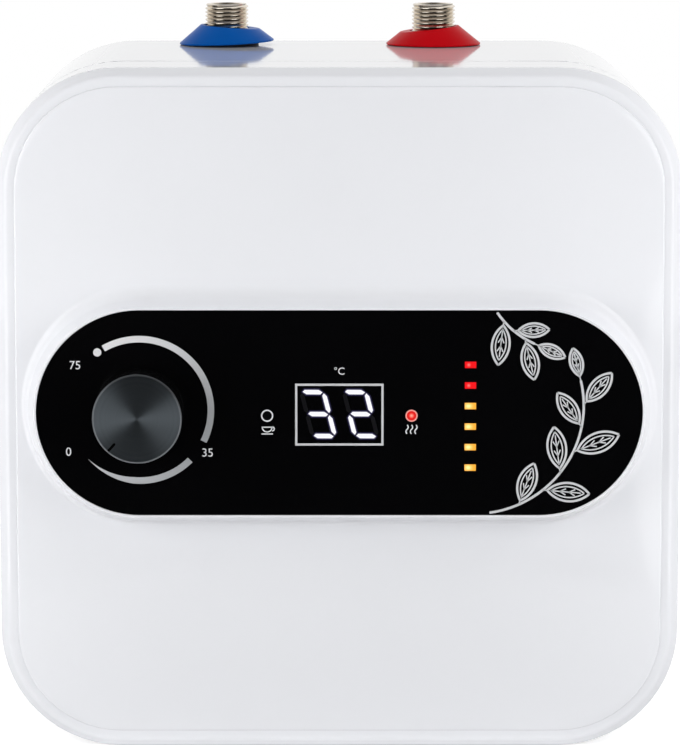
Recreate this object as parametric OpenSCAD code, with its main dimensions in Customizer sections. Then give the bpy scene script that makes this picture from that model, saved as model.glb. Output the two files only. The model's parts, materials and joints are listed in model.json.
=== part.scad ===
// Compact electric water heater: a small pressurised tank in a moulded white case,
// with a dial thermostat and a two-digit display in front and two water nipples on top.
// Millimetres. X runs to the right, Y to the back and Z up.
// The origin is the middle of the base, under the middle of the case.

/* [Case] */
// Width of the case
case_w = 310; // [290:1:340]
// Height of the case
case_h = 312; // [295:1:340]
// Depth of the case behind its front edge
case_depth = 185; // [165:1:215]
// Radius of the four corners seen from the front
corner_r = 55; // [45:1:68]
// Thickness of the moulded walls
wall = 2.6; // [2:0.1:3.5]
// Radius round the back edge
back_edge_r = 6; // [4:0.5:9]
// Depth of the front cover's skirt, from the front edge back to the seam
skirt_depth = 38; // [32:1:44]
// Open gap at the seam
seam_gap = 0.6; // [0.3:0.1:1.2]
// Length of the cover's tongue inside the rear shell
tongue_l = 6; // [4:0.5:9]
// Thickness of that tongue
tongue_t = 1.6; // [1.2:0.1:2.4]
// Clearance between fixed mouldings
fit = 0.2; // [0.1:0.05:0.4]
// Length of each pry notch in the seam
notch_l = 26; // [14:1:34]
// Width that a pry notch adds to the seam
notch_w = 1.2; // [0.6:0.1:2]
// Distance between the pry notches
notch_pitch = 183; // [150:1:188]

/* [Front cover] */
// Radius round the front edge
edge_r = 7; // [5:0.5:9]
// Flat land between the rounded edge and the face
face_land = 0.5; // [0.3:0.1:2]
// Height of the step from the land up to the face
face_step = 0.8; // [0.4:0.1:1.4]
// Height that the face swells from its sides to its middle
face_crown = 5; // [3:0.5:8]
// Height of the panel's plateau above the middle of the face
plateau_rise = 11; // [9:0.5:14]
// Run of the plateau's sloping flank
plateau_flank = 4; // [2:0.5:6]
// White rim left round the panel
plateau_rim = 1.3; // [1:0.1:2]

/* [Control panel] */
// Length of the panel
panel_w = 273; // [262:1:276]
// Height of the panel
panel_h = 93; // [86:0.5:98]
// Thickness of the panel
panel_t = 2.5; // [2:0.1:3.5]
// Height of the panel's middle above the middle of the case
panel_lift = 2; // [-6:0.5:8]
// Width of the display window
display_w = 38; // [30:0.5:42]
// Height of the display window
display_h = 26; // [20:0.5:28]
// Drop of the display and status lamps below the panel's middle
display_drop = 1.2; // [0:0.1:4]
// Depth of the digit module
digit_depth = 7.5; // [6:0.5:9]
// Distance of each status lamp from the middle
status_x = 32.5; // [28:0.5:38]
// Diameter of a status lamp
status_d = 4.4; // [3:0.1:5]
// Distance of the level lamps from the middle
level_x = 59; // [52:0.5:64]
// Width of a level lamp
level_w = 5.2; // [4:0.1:6]
// Height of a level lamp
level_h = 3; // [2:0.1:4]
// Spacing of the level lamps
level_pitch = 9.36; // [7:0.02:10]
// Number of red level lamps, at the top of the row
level_red = 2; // [1:1:3]
// Number of amber level lamps under them
level_amber = 4; // [2:1:4]
// Height of the middle of the level lamps above the panel's middle
level_lift = -1.5; // [-3:0.1:2]

/* [Dial] */
// Diameter of the knob
knob_d = 40; // [34:0.5:46]
// Height of the knob
knob_h = 24; // [20:0.5:28]
// Gap between the knob and the panel
knob_gap = 0.8; // [0.5:0.1:2]
// Height of the knob's axis above the middle of the panel
knob_lift = 1; // [-2:0.5:3]
// Thickness of the knob's metal shell
knob_skin = 1.4; // [1:0.1:2]
// Bevel round the knob's face
knob_bevel = 0.8; // [0.4:0.1:1.5]
// Length of the pointer
pointer_l = 4.8; // [3:0.1:8]
// Width of the pointer
pointer_w = 1.6; // [1:0.1:2.5]
// Depth of the pointer's groove
pointer_depth = 0.5; // [0.3:0.1:0.8]
// Pointer's direction at off, anticlockwise from the right
off_angle = 228; // [215:1:240]
// Diameter of the thermostat's shaft
shaft_d = 6; // [5:0.5:8]
// Flat-to-back size of the shaft's D end
shaft_flat = 4.6; // [3.8:0.1:4.8]
// Length of the shaft inside the knob
shaft_grip = 13; // [10:0.5:16]
// Running clearance round the shaft
shaft_clear = 0.05; // [0.03:0.01:0.08]

/* [Thermostat] */
// Width of the thermostat's body
thermostat_w = 32; // [28:1:36]
// Height of the thermostat's body
thermostat_h = 32; // [28:1:34]
// Depth of the thermostat's body
thermostat_depth = 25; // [20:1:27]
// Distance between the thermostat's screws
thermostat_pitch = 38; // [37:0.5:44]
// Radius of the bush round the shaft
bush_r = 5; // [4.6:0.1:6]

/* [Water connections] */
// Outside diameter of the half-inch pipe thread
thread_d = 20.955; // [20.6:0.005:21.3]
// Length of the free thread at the nipple's end
thread_l = 9.5; // [8:0.5:11]
// Bore of the nipples
nipple_bore = 15; // [12:0.5:16]
// Distance between the nipples
nipple_pitch = 100; // [90:1:110]
// Sideways offset of the pair from the middle of the case
nipple_offset = -4.5; // [-10:0.5:10]
// Distance of the nipples from the back of the case
nipple_back = 36; // [33:0.5:42]
// Height of the nipples above the case
nipple_rise = 20; // [18:0.5:26]
// Bevel at the nipple's end
nipple_bevel = 0.8; // [0.4:0.1:1.2]
// Thread depth taken off the nipple's plain shank, as a radius
shank_step = 0.3; // [0.2:0.05:0.6]
// Diameter of a collar's wide foot
collar_d = 45.5; // [38:0.5:50]
// Height of a collar's cone
collar_cone_h = 9.5; // [8.5:0.5:12]
// Height of a collar at the middle of its slanted top
collar_h = 7.7; // [7:0.1:8.5]
// Slant of a collar's top
collar_slant = 6.5; // [0:0.5:7]
// Thickness of a collar
collar_t = 1.5; // [1.2:0.1:2]
// Clearance between a collar and its nipple
collar_clear = 0.5; // [0.3:0.1:1]
// Gap that keeps a resting collar off the case
collar_rest = 0.3; // [0.2:0.05:0.5]
// Thickness of the grommet's rubber round a nipple
grommet_t = 2.2; // [1.5:0.1:3]
// Width of the grommet's lips
grommet_lip = 2.5; // [1.5:0.1:3]

/* [Tank] */
// Outside diameter of the tank
tank_d = 244; // [220:1:256]
// Room for the controls, from the front edge back to the tank
control_room = 28.4; // [25:0.2:36]
// Depth of each dished end
tank_dish = 12; // [8:0.5:16]
// Thickness of the tank's sheet
tank_t = 1.5; // [1.2:0.1:2.5]
// Gap between the tank and the back wall
tank_back_gap = 6; // [5:0.5:9]
// Inside diameter of the front neck
neck_d = 80; // [76:1:90]
// Height of the neck to the front of its flange ring
neck_rise = 8; // [6:0.5:9]
// Outside diameter of the flange
flange_d = 112; // [108:1:124]
// Thickness of the flange plate
flange_t = 3; // [2.5:0.5:4]
// Thickness of the gasket
gasket_t = 2.5; // [2:0.5:3]
// Diameter of the flange bolts
bolt_d = 6; // [5:0.5:6]
// Number of flange bolts
bolt_count = 6; // [4:1:8]
// Clearance round bolts and rods
bolt_clear = 0.15; // [0.1:0.05:0.3]
// Thickness of the foam in front of the tank
foam_front = 8; // [7:0.5:9]
// Clearance between the foam and what it wraps
foam_fit = 0.4; // [0.3:0.05:0.8]
// How far the nipples reach into the tank, below its top
nipple_dip = 26; // [24:1:30]
// Length of the dip tube's socket in the nipple
socket_l = 8; // [6:0.5:10]
// Height of the dip tube's lower end below the tank's middle
dip_drop = 80; // [60:1:85]

/* [Heater flange] */
// Diameter of the heating element's sheath
element_d = 8; // [6.5:0.5:9]
// Distance between the element's legs
element_pitch = 32; // [28:1:34]
// Drop of the element below the flange's middle
element_drop = 16; // [14:0.5:18]
// Length of the element behind the flange
element_l = 128; // [100:1:130]
// Diameter of the anode rod
anode_d = 20; // [16:1:22]
// Length of the anode rod
anode_l = 96; // [70:1:110]
// Outside diameter of the thermowell
well_d = 9; // [8:0.5:10]
// Length of the thermowell
well_l = 100; // [80:1:120]
// Diameter of the sensor bulb
bulb_d = 6.4; // [5.5:0.1:6.6]
// Diameter of the thermal cut-out
cutout_d = 20; // [18:0.5:21]
// Height of the thermal cut-out
cutout_h = 10; // [8:0.5:11]
// Diameter of its reset button
button_d = 4; // [3:0.5:5]
// Height that the button stands out when it is set
button_rise = 2; // [1.5:0.1:2.5]
// Running clearance round the button
button_clear = 0.06; // [0.03:0.01:0.1]

/* [Fixing and wiring] */
// Distance between the wall keyholes
keyhole_pitch = 160; // [120:1:180]
// Height of the keyholes' entry holes above the base
keyhole_z = 236; // [220:1:240]
// Diameter of a keyhole's entry hole
keyhole_d = 12; // [10:0.5:14]
// Width of a keyhole's slot
keyhole_slot = 6; // [4:0.5:7]
// Length of a keyhole's slot, between its centres
keyhole_l = 13; // [10:0.5:16]
// Thickness of the hanger plate
hanger_t = 1.5; // [1:0.1:2]
// Room behind the hanger plate for a screw's head
hanger_room = 6; // [4:0.5:8]
// Distance of the cover screws from the middle
cover_screw_x = 40; // [25:1:50]
// Diameter of the cover screws
cover_screw_d = 3.4; // [3:0.1:4]
// Distance of the cord's grommet behind the seam
cord_back = 22; // [18:1:30]
// Height of the cord's grommet above the base
cord_z = 74; // [70:1:90]
// Diameter of the cord's hole in the grommet
cord_d = 7.5; // [6:0.1:9]
// Diameter of the inner leads
lead_d = 2.4; // [2:0.1:3]
// Diameter of the capillary tube
capillary_d = 1.8; // [1.2:0.1:2]

/* [Hidden] */
$fn = 96;
fine_fn = 720;

// Stations from back to front
rear_y = case_depth / 2;
edge_y = -case_depth / 2;
seam_y = edge_y + skirt_depth;
band_y = edge_y - edge_r;
face_y = band_y - face_step - face_crown;
plateau_y = face_y - plateau_rise;
floor_y = plateau_y + panel_t;
floor_back_y = floor_y + wall;
board_t = 1.6;
board_y = floor_y + digit_depth;

// Heights
mid_z = case_h / 2;
panel_z = mid_z + panel_lift;
display_z = panel_z - display_drop;

// Front cover
face_inset = edge_r + face_land;
face_lap = 5;
face_half_w = case_w / 2 - face_inset;
face_half_h = case_h / 2 - face_inset;
dome_rx = (face_half_w * face_half_w + face_crown * face_crown) / (2 * face_crown);
dome_rz = (face_half_h * face_half_h + face_crown * face_crown) / (2 * face_crown);
plateau_base = -face_y - face_crown - wall;
function flank_u(v) = panel_h / 2 + plateau_rim + (-plateau_y - v) * plateau_flank / plateau_rise;

// Dial and thermostat
knob_x = -(panel_w - panel_h) / 2;
knob_z = panel_z + knob_lift;
knob_back_y = plateau_y - knob_gap;
knob_face_t = 1.8;
bracket_t = 1.5;
body_y = floor_back_y + bracket_t;
shaft_seat = 8;
bush_clear = 0.4;
shaft_end_gap = 0.5;
thermostat_screw_d = 3;
countersink_h = 1.8;

// Display board
level_count = level_red + level_amber;
lamp_margin = 1.5;
window_left = -status_x - status_d / 2 - lamp_margin;
window_right = level_x + level_w / 2 + lamp_margin;
window_h = (level_count - 1) * level_pitch + level_h + 2 * lamp_margin;
post_r = 2.6;
board_screw_d = 2.2;
board_x = (window_left + window_right) / 2;
board_z = panel_z + level_lift;
board_w = window_right - window_left + 2 * post_r;
board_h = window_h + 4 * post_r + lamp_margin;
board_hole_x = board_w / 2 - post_r;
board_hole_z = board_h / 2 - post_r;
led_h = 1;
lens_fit = 0.1;

// Water connections
nipple_y = rear_y - nipple_back;
cold_x = nipple_offset - nipple_pitch / 2;
hot_x = nipple_offset + nipple_pitch / 2;
thread_r = thread_d / 2;
shank_r = thread_r - shank_step;
nipple_top = case_h + nipple_rise;
grommet_r = thread_r + fit + grommet_t;
grommet_lip_t = 1.5;
collar_neck_r = thread_r + collar_clear + collar_t;
collar_bore_z = collar_h - collar_neck_r * tan(collar_slant) - collar_t;

// Tank
tank_r = tank_d / 2;
tank_z = mid_z;
tank_rear_y = rear_y - wall - tank_back_gap;
tank_front_y = edge_y + control_room;
tank_l = tank_rear_y - tank_front_y;
dish_r = (tank_r * tank_r + tank_dish * tank_dish) / (2 * tank_dish);
neck_r = neck_d / 2;
flange_r = flange_d / 2;
ring_y = tank_front_y - neck_rise;
ring_t = 3;
gasket_y = ring_y - gasket_t;
flange_y = gasket_y - flange_t;
neck_t = 3;
bolt_ring_r = (neck_r + neck_t + flange_r) / 2;
socket_r = thread_r + 4;
socket_rise = 8;
nipple_end = tank_z + tank_r - nipple_dip;
dip_r = shank_r - 1.3;
dip_t = 2;

// Places on the heater flange, as [right, up] from its middle
anode_at = [16, 20];
well_at = [-18, 18];
cutout_at = [0, 3];
earth_at = [0, -33];
element_at = [for (s = [-1, 1]) [s * element_pitch / 2, -element_drop]];
stud_d = 6;
nut_flats = 10;
nut_h = 4.5;
leg_rise = 4;
insulator_h = 5;
pin_d = 3;
pin_l = 9;
well_t = 0.9;

// Foam, hanger and wiring
foam_split_y = nipple_y;
foam_front_y = tank_front_y - foam_front;
front_inset = wall + fit + tongue_t + foam_fit;
hanger_w = keyhole_pitch + 50;
hanger_h = 56;
hanger_z = keyhole_z + keyhole_l / 2;
hanger_y = rear_y - wall;
stake_r = 2.5;
stake_x = keyhole_pitch / 2 - 30;
stake_z = 18;
cover_screw_y = seam_y + tongue_l + 5;
tab_h = 8;
tab_w = 16;
cord_y = seam_y + cord_back;
cord_lip = 2.5;
cord_wall = 2.6;
block_w = 38;
block_depth = 18;
block_h = 20;
block_x = 78;
block_y = cord_y;
block_rib = 2;
pocket_room = 4;
lead_room = 16;

// Places what is drawn as [right, up, towards the viewer]
module facing(y = 0, x = 0, z = 0) {
    translate([x, y, z]) rotate([90, 0, 0]) children();
}

// Places what is drawn as [right, down, towards the back]
module backing(y = 0, x = 0, z = 0) {
    translate([x, y, z]) rotate([-90, 0, 0]) children();
}

module quarter_disc(r) {
    intersection() {
        circle(r);
        square(r);
    }
}

module rounded_rect(w, h, r) {
    square([w, h - 2 * r], center = true);
    for (sy = [0, 1]) mirror([0, sy]) {
        translate([r - w / 2, h / 2 - r]) square([w - 2 * r, r]);
        for (sx = [0, 1]) mirror([sx, 0])
            translate([w / 2 - r, h / 2 - r]) quarter_disc(r);
    }
}

module stadium(w, h) {
    square([w - h, h], center = true);
    for (s = [0, 1]) mirror([s, 0]) translate([(w - h) / 2, 0]) {
        quarter_disc(h / 2);
        mirror([0, 1]) quarter_disc(h / 2);
    }
}

// Sweeps a profile round a rounded rectangle; its first axis runs outwards from a corner's centre
module round_the_case(w, h, r) {
    for (k = [0:3]) {
        out = k % 2 == 0 ? w : h;
        along = k % 2 == 0 ? h : w;
        rotate([0, 0, 90 * k]) translate([out / 2 - r, 0, 0]) {
            rotate([90, 0, 0]) linear_extrude(along - 2 * r, center = true) children();
            translate([0, along / 2 - r, 0]) rotate_extrude(angle = 90) children();
        }
    }
}

// Sweeps a profile round a stadium; its first axis runs outwards from an end's centre
module round_the_panel() {
    for (k = [0, 1]) rotate([0, 0, 180 * k]) {
        rotate([90, 0, 90]) linear_extrude(panel_w - panel_h, center = true) children();
        translate([(panel_w - panel_h) / 2, 0, 0])
            rotate([0, 0, -90]) rotate_extrude(angle = 180) children();
    }
}

module ring(outer, inner, h) {
    difference() {
        cylinder(r = outer, h = h);
        translate([0, 0, -1]) cylinder(r = inner, h = h + 2);
    }
}

module hex(flats, h) {
    cylinder(r = flats / sqrt(3), h = h, $fn = 6);
}

// Rounded tube through a list of points
function unit(v) = v / norm(v);
function spline_at(p, i, t) =
    let (a = p[max(i - 1, 0)], b = p[i], c = p[i + 1], d = p[min(i + 2, len(p) - 1)])
    0.5 * (2 * b + (c - a) * t + (2 * a - 5 * b + 4 * c - d) * t * t + (3 * b - a - 3 * c + d) * t * t * t);
function spline(p, steps) = [
    for (i = [0:len(p) - 2]) for (k = [0:steps - 1]) spline_at(p, i, k / steps),
    p[len(p) - 1]
];
function heading(p, i) = unit(p[min(i + 1, len(p) - 1)] - p[max(i - 1, 0)]);
function square_to(n, t) = unit(n - (n * t) * t);
function side_at(p, i, first) = i == 0 ? square_to(first, heading(p, 0))
    : square_to(side_at(p, i - 1, first), heading(p, i));

module tube(points, d, first = [0, 0.3, 1], sides = 8, steps = 4) {
    path = spline(points, steps);
    last = len(path) - 1;
    rings = [
        for (i = [0:last]) let (t = heading(path, i), a = side_at(path, i, first), b = cross(t, a))
            for (k = [0:sides - 1])
                path[i] + d / 2 * (a * cos(360 * k / sides) + b * sin(360 * k / sides))
    ];
    skin = [
        for (i = [0:last - 1]) for (k = [0:sides - 1])
            let (n = (k + 1) % sides, lo = i * sides, hi = (i + 1) * sides) each [
                [lo + k, hi + k, lo + n],
                [lo + n, hi + k, hi + n]
            ]
    ];
    caps = [
        [for (k = [0:sides - 1]) k],
        [for (k = [sides - 1:-1:0]) last * sides + k]
    ];
    polyhedron(points = rings, faces = concat(skin, caps), convexity = 6);
}

// Case

module rear_wall_profile() {
    back = -rear_y + back_edge_r;
    difference() {
        union() {
            translate([0, back]) square([corner_r, -seam_y - back]);
            translate([0, -rear_y]) square([corner_r - back_edge_r, back_edge_r]);
            translate([corner_r - back_edge_r, back]) mirror([0, 1]) quarter_disc(back_edge_r);
        }
        translate([-1, back]) square([corner_r - wall + 1, -seam_y - back + 1]);
        translate([-1, wall - rear_y]) square([corner_r - back_edge_r + 1, back_edge_r]);
        translate([corner_r - back_edge_r, back]) mirror([0, 1]) quarter_disc(back_edge_r - wall);
    }
}

module keyhole(h) {
    cylinder(d = keyhole_d, h = h);
    translate([-keyhole_slot / 2, -keyhole_l, 0]) cube([keyhole_slot, keyhole_l, h]);
    translate([0, -keyhole_l, 0]) cylinder(d = keyhole_slot, h = h);
}

module each_keyhole() {
    for (s = [-1, 1]) translate([s * keyhole_pitch / 2, 0, keyhole_z]) children();
}

module each_stake(r) {
    for (sx = [-1, 1]) for (sz = [-1, 1])
        translate([sx * stake_x, hanger_y - hanger_t - fit, hanger_z + sz * stake_z])
            backing() cylinder(r = r, h = hanger_t + wall);
}

module each_nipple() {
    for (x = [cold_x, hot_x]) translate([x, nipple_y, 0]) children();
}

module each_cover_screw() {
    for (s = [-1, 1]) translate([s * cover_screw_x, cover_screw_y, 0]) children();
}

module rear_shell() {
    color("white") difference() {
        union() {
            facing(0, 0, mid_z) {
                round_the_case(case_w, case_h, corner_r) rear_wall_profile();
                translate([0, 0, -rear_y]) linear_extrude(wall)
                    square([case_w - 2 * corner_r, case_h - 2 * corner_r], center = true);
            }
            each_stake(stake_r);
            for (s = [-1, 1])
                translate([block_x + s * (block_w + block_rib + 2 * fit) / 2,
                           block_y,
                           block_h / 4 + wall / 2])
                    cube([block_rib, block_depth, block_h / 2 + wall], center = true);
        }
        each_nipple() translate([0, 0, case_h - 2 * wall]) cylinder(r = grommet_r + fit, h = 3 * wall);
        each_keyhole() backing(rear_y - 2 * wall) keyhole(3 * wall);
        translate([case_w / 2 - 2 * wall, cord_y, cord_z]) rotate([0, 90, 0])
            cylinder(r = cord_d / 2 + cord_wall + fit, h = 3 * wall);
        each_cover_screw() {
            translate([0, 0, -1]) cylinder(d = cover_screw_d + 2 * bolt_clear, h = wall + 2);
            cylinder(d1 = 2 * cover_screw_d, d2 = cover_screw_d, h = countersink_h);
        }
        for (s = [-1, 1])
            translate([s * notch_pitch / 2 - notch_l / 2, seam_y - 1, case_h - 2 * wall])
                cube([notch_l, notch_w + 1, 3 * wall]);
    }
}

module cover_edge_profile() {
    inner = corner_r - wall - fit - tongue_t;
    translate([corner_r - wall, seam_gap - seam_y]) square([wall, seam_y - edge_y - seam_gap]);
    translate([corner_r - edge_r, -edge_y]) difference() {
        quarter_disc(edge_r);
        quarter_disc(edge_r - wall);
    }
    translate([corner_r - edge_r - face_lap, -band_y - wall]) square([face_lap, wall]);
    translate([inner, -seam_y - tongue_l]) square([tongue_t, 2 * tongue_l + seam_gap]);
    translate([inner, seam_gap - seam_y]) square([tongue_t + fit, tongue_l]);
}

// The crowned face is where two wide barrels cross
module dome(inset) {
    intersection() {
        translate([0, 0, -face_y - dome_rx]) rotate([90, 0, 0])
            cylinder(r = dome_rx - inset, h = 2 * case_h, center = true, $fn = fine_fn);
        translate([0, 0, -face_y - dome_rz]) rotate([0, 90, 0])
            cylinder(r = dome_rz - inset, h = 2 * case_w, center = true, $fn = fine_fn);
    }
}

module domed_face() {
    depth = face_crown + face_step + 2 * wall;
    intersection() {
        translate([0, 0, -face_y - depth]) linear_extrude(depth + 1)
            rounded_rect(2 * face_half_w, 2 * face_half_h, corner_r - face_inset);
        difference() {
            dome(0);
            dome(wall);
        }
    }
}

module plateau_solid() {
    round_the_panel() polygon([
        [0, plateau_base],
        [flank_u(plateau_base), plateau_base],
        [flank_u(-plateau_y), -plateau_y],
        [0, -plateau_y]
    ]);
}

module plateau_hollow() {
    low = plateau_base - wall;
    round_the_panel() polygon([
        [0, low],
        [flank_u(low) - wall, low],
        [flank_u(-floor_back_y) - wall, -floor_back_y],
        [0, -floor_back_y]
    ]);
}

module each_board_post() {
    for (sx = [-1, 1]) for (sz = [-1, 1])
        translate([board_x + sx * board_hole_x, 0, board_z + sz * board_hole_z]) children();
}

module each_thermostat_screw() {
    for (s = [-1, 1]) translate([knob_x, 0, knob_z + s * thermostat_pitch / 2]) children();
}

module front_cover() {
    color("white") difference() {
        union() {
            facing(0, 0, mid_z) {
                round_the_case(case_w, case_h, corner_r) cover_edge_profile();
                difference() {
                    union() {
                        domed_face();
                        translate([0, panel_lift, 0]) plateau_solid();
                    }
                    translate([0, panel_lift, 0]) plateau_hollow();
                }
            }
            each_board_post() facing(board_y) cylinder(r = post_r, h = board_y - floor_y - wall / 2);
            each_cover_screw() translate([-tab_w / 2, seam_y - cover_screw_y - tongue_l, wall + fit])
                cube([tab_w, 2 * tongue_l + 2 * (cover_screw_y - seam_y - tongue_l), tab_h]);
        }
        facing(floor_y, 0, panel_z) linear_extrude(panel_t + 1)
            stadium(panel_w + 2 * fit, panel_h + 2 * fit);
        facing(floor_back_y + 1, board_x, board_z) linear_extrude(wall + 2)
            square([window_right - window_left, window_h], center = true);
        facing(floor_back_y + 1, knob_x, knob_z) cylinder(r = bush_r + bush_clear, h = wall + 2);
        each_thermostat_screw() {
            facing(floor_back_y + 1) cylinder(d = thermostat_screw_d + 2 * bolt_clear, h = wall + 2);
            facing(floor_y + countersink_h)
                cylinder(d1 = thermostat_screw_d,
                         d2 = 2 * thermostat_screw_d + 2 * fit,
                         h = countersink_h + fit);
        }
        each_board_post() facing(board_y + 1)
            cylinder(d = board_screw_d + bolt_clear, h = board_y - floor_back_y);
        each_cover_screw() cylinder(d = cover_screw_d + bolt_clear, h = wall + fit + tab_h + 1);
    }
}

module cover_screws() {
    color("silver") each_cover_screw() {
        translate([0, 0, fit])
            cylinder(d1 = 2 * cover_screw_d - 4 * fit, d2 = cover_screw_d, h = countersink_h - fit);
        translate([0, 0, fit]) cylinder(d = cover_screw_d, h = wall + tab_h - fit);
    }
}

// Control panel

module each_level(from, to) {
    for (k = [from:to])
        translate([level_x, 0, board_z + ((level_count - 1) / 2 - k) * level_pitch]) children();
}

module control_panel() {
    color("black") facing(floor_y, 0, panel_z) difference() {
        linear_extrude(panel_t) stadium(panel_w, panel_h);
        translate([0, -display_drop, -1]) linear_extrude(panel_t + 2)
            square([display_w, display_h], center = true);
        translate([knob_x, knob_lift, -1]) cylinder(r = bush_r + bush_clear, h = panel_t + 2);
        for (s = [-1, 1]) translate([s * status_x, -display_drop, -1])
            cylinder(d = status_d, h = panel_t + 2);
        translate([0, -panel_z, -1]) linear_extrude(panel_t + 2)
            for (k = [0:level_count - 1])
                translate([level_x, board_z + ((level_count - 1) / 2 - k) * level_pitch])
                    square([level_w, level_h], center = true);
    }
}

module display_window() {
    color("dimgray") facing(floor_y, 0, display_z) linear_extrude(panel_t)
        square([display_w - 2 * lens_fit, display_h - 2 * lens_fit], center = true);
}

module level_guide() {
    facing(board_y - led_h) linear_extrude(panel_t + digit_depth - led_h)
        square([level_w - 2 * lens_fit, level_h - 2 * lens_fit], center = true);
}

module level_guides_red() {
    color("red") each_level(0, level_red - 1) level_guide();
}

module level_guides_amber() {
    color("orange") each_level(level_red, level_count - 1) level_guide();
}

module status_guide(x) {
    facing(board_y - led_h, x, display_z)
        cylinder(d = status_d - 2 * lens_fit, h = panel_t + digit_depth - led_h);
}

module heating_lamp_guide() {
    color("crimson") status_guide(status_x);
}

module holding_lamp_guide() {
    color("whitesmoke") status_guide(-status_x);
}

module display_board() {
    color("darkgreen") difference() {
        facing(board_y + board_t, board_x, board_z) linear_extrude(board_t)
            square([board_w, board_h], center = true);
        each_board_post() facing(board_y + board_t + 1)
            cylinder(d = board_screw_d + 2 * bolt_clear, h = board_t + 2);
    }
}

module digit_module() {
    color("gray") facing(board_y, 0, display_z) linear_extrude(digit_depth)
        square([display_w - 2, display_h - 2], center = true);
}

module indicator_leds() {
    led_w = 3;
    color("ivory") {
        each_level(0, level_count - 1) facing(board_y) linear_extrude(led_h)
            square([led_w, level_h - 1], center = true);
        for (s = [-1, 1]) facing(board_y, s * status_x, display_z) linear_extrude(led_h)
            square([led_w, led_w], center = true);
    }
}

module board_screws() {
    head_h = 1.6;
    color("silver") each_board_post() {
        facing(board_y + board_t + head_h) cylinder(d = 2 * board_screw_d, h = head_h);
        facing(board_y + board_t) cylinder(d = board_screw_d, h = board_y + board_t - floor_back_y - 1);
    }
}

// Dial

module d_shaft(r, flat, h) {
    difference() {
        cylinder(r = r, h = h);
        translate([flat - r, -r - 1, -1]) cube([2 * r, 2 * r + 2, h + 2]);
    }
}

module pointer_bar(inset, h) {
    rotate([0, 0, off_angle])
        translate([knob_d / 2 - knob_bevel - pointer_l + inset, inset - pointer_w / 2, 0])
        cube([pointer_l - 2 * inset, pointer_w - 2 * inset, h]);
}

module knob_shell() {
    r = knob_d / 2;
    color("dimgray") facing(knob_back_y, knob_x, knob_z) difference() {
        rotate_extrude() difference() {
            polygon([[0, 0], [r, 0], [r, knob_h - knob_bevel], [r - knob_bevel, knob_h], [0, knob_h]]);
            translate([-1, -1]) square([r - knob_skin + 1, knob_h - knob_face_t + 1]);
        }
        translate([0, 0, knob_h - pointer_depth]) pointer_bar(0, pointer_depth + 1);
    }
}

module knob_pointer() {
    color("black") facing(knob_back_y, knob_x, knob_z)
        translate([0, 0, knob_h - pointer_depth]) pointer_bar(bush_clear / 8, pointer_depth);
}

module knob_core() {
    r = knob_d / 2 - knob_skin - lens_fit;
    rim_t = 2;
    web_t = 3;
    hub_r = shaft_d / 2 + 4;
    top = knob_h - knob_face_t;
    recess = 1;
    color("black") facing(knob_back_y, knob_x, knob_z) difference() {
        union() {
            translate([0, 0, top - web_t]) cylinder(r = r, h = web_t);
            translate([0, 0, recess]) ring(r, r - rim_t, top - recess);
            translate([0, 0, recess]) cylinder(r = hub_r, h = top - recess);
            for (k = [0:5]) rotate([0, 0, 60 * k + 30])
                translate([hub_r - 1, -0.75, recess + web_t])
                    cube([r - rim_t - hub_r + 2, 1.5, top - recess - web_t]);
        }
        rotate([0, 0, off_angle]) translate([0, 0, recess - 1])
            d_shaft(shaft_d / 2 + shaft_clear,
                    shaft_flat + shaft_clear,
                    shaft_grip + shaft_end_gap + 1 - recess);
    }
}

module thermostat_shaft() {
    plain_l = body_y + shaft_seat - knob_back_y;
    color("silver") facing(body_y + shaft_seat, knob_x, knob_z) difference() {
        cylinder(d = shaft_d, h = plain_l + shaft_grip);
        rotate([0, 0, off_angle]) translate([shaft_flat - shaft_d / 2, -shaft_d, plain_l])
            cube([shaft_d, 2 * shaft_d, shaft_grip + 1]);
    }
}

module thermostat_body() {
    bracket_h = thermostat_pitch + 10;
    tab_size = [6.3, 0.8, 7];
    color("tan") facing(body_y, knob_x, knob_z) difference() {
        union() {
            linear_extrude(bracket_t) rounded_rect(thermostat_w - 8, bracket_h, 4);
            translate([0, 0, -thermostat_depth]) linear_extrude(thermostat_depth)
                rounded_rect(thermostat_w, thermostat_h, 3);
            cylinder(r = bush_r, h = body_y - plateau_y - fit);
            for (s = [-1, 1]) translate([s * thermostat_w / 4, 0, -thermostat_depth - tab_size[2] / 2])
                cube(tab_size + [0, 0, 1], center = true);
        }
        translate([0, 0, -shaft_seat - shaft_end_gap])
            cylinder(r = shaft_d / 2 + shaft_clear, h = shaft_seat + 2 * bush_r + panel_t + wall);
        for (s = [-1, 1]) translate([0, s * thermostat_pitch / 2, -1])
            cylinder(d = thermostat_screw_d + bolt_clear, h = bracket_t + 2);
    }
}

module thermostat_screws() {
    color("silver") each_thermostat_screw() {
        facing(floor_y + countersink_h + fit) cylinder(d1 = thermostat_screw_d - 2 * fit,
            d2 = 2 * thermostat_screw_d - 2 * fit, h = countersink_h);
        facing(body_y + 1) cylinder(d = thermostat_screw_d, h = body_y + 1 - floor_y - fit);
    }
}

// Tank and heater

module dished_body(grow) {
    rotate_extrude() intersection() {
        translate([0, -tank_rear_y - grow]) square([tank_r + grow, tank_l + 2 * grow]);
        translate([0, dish_r - tank_rear_y]) circle(dish_r + grow, $fn = fine_fn);
        translate([0, -tank_front_y - dish_r]) circle(dish_r + grow, $fn = fine_fn);
    }
}

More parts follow.
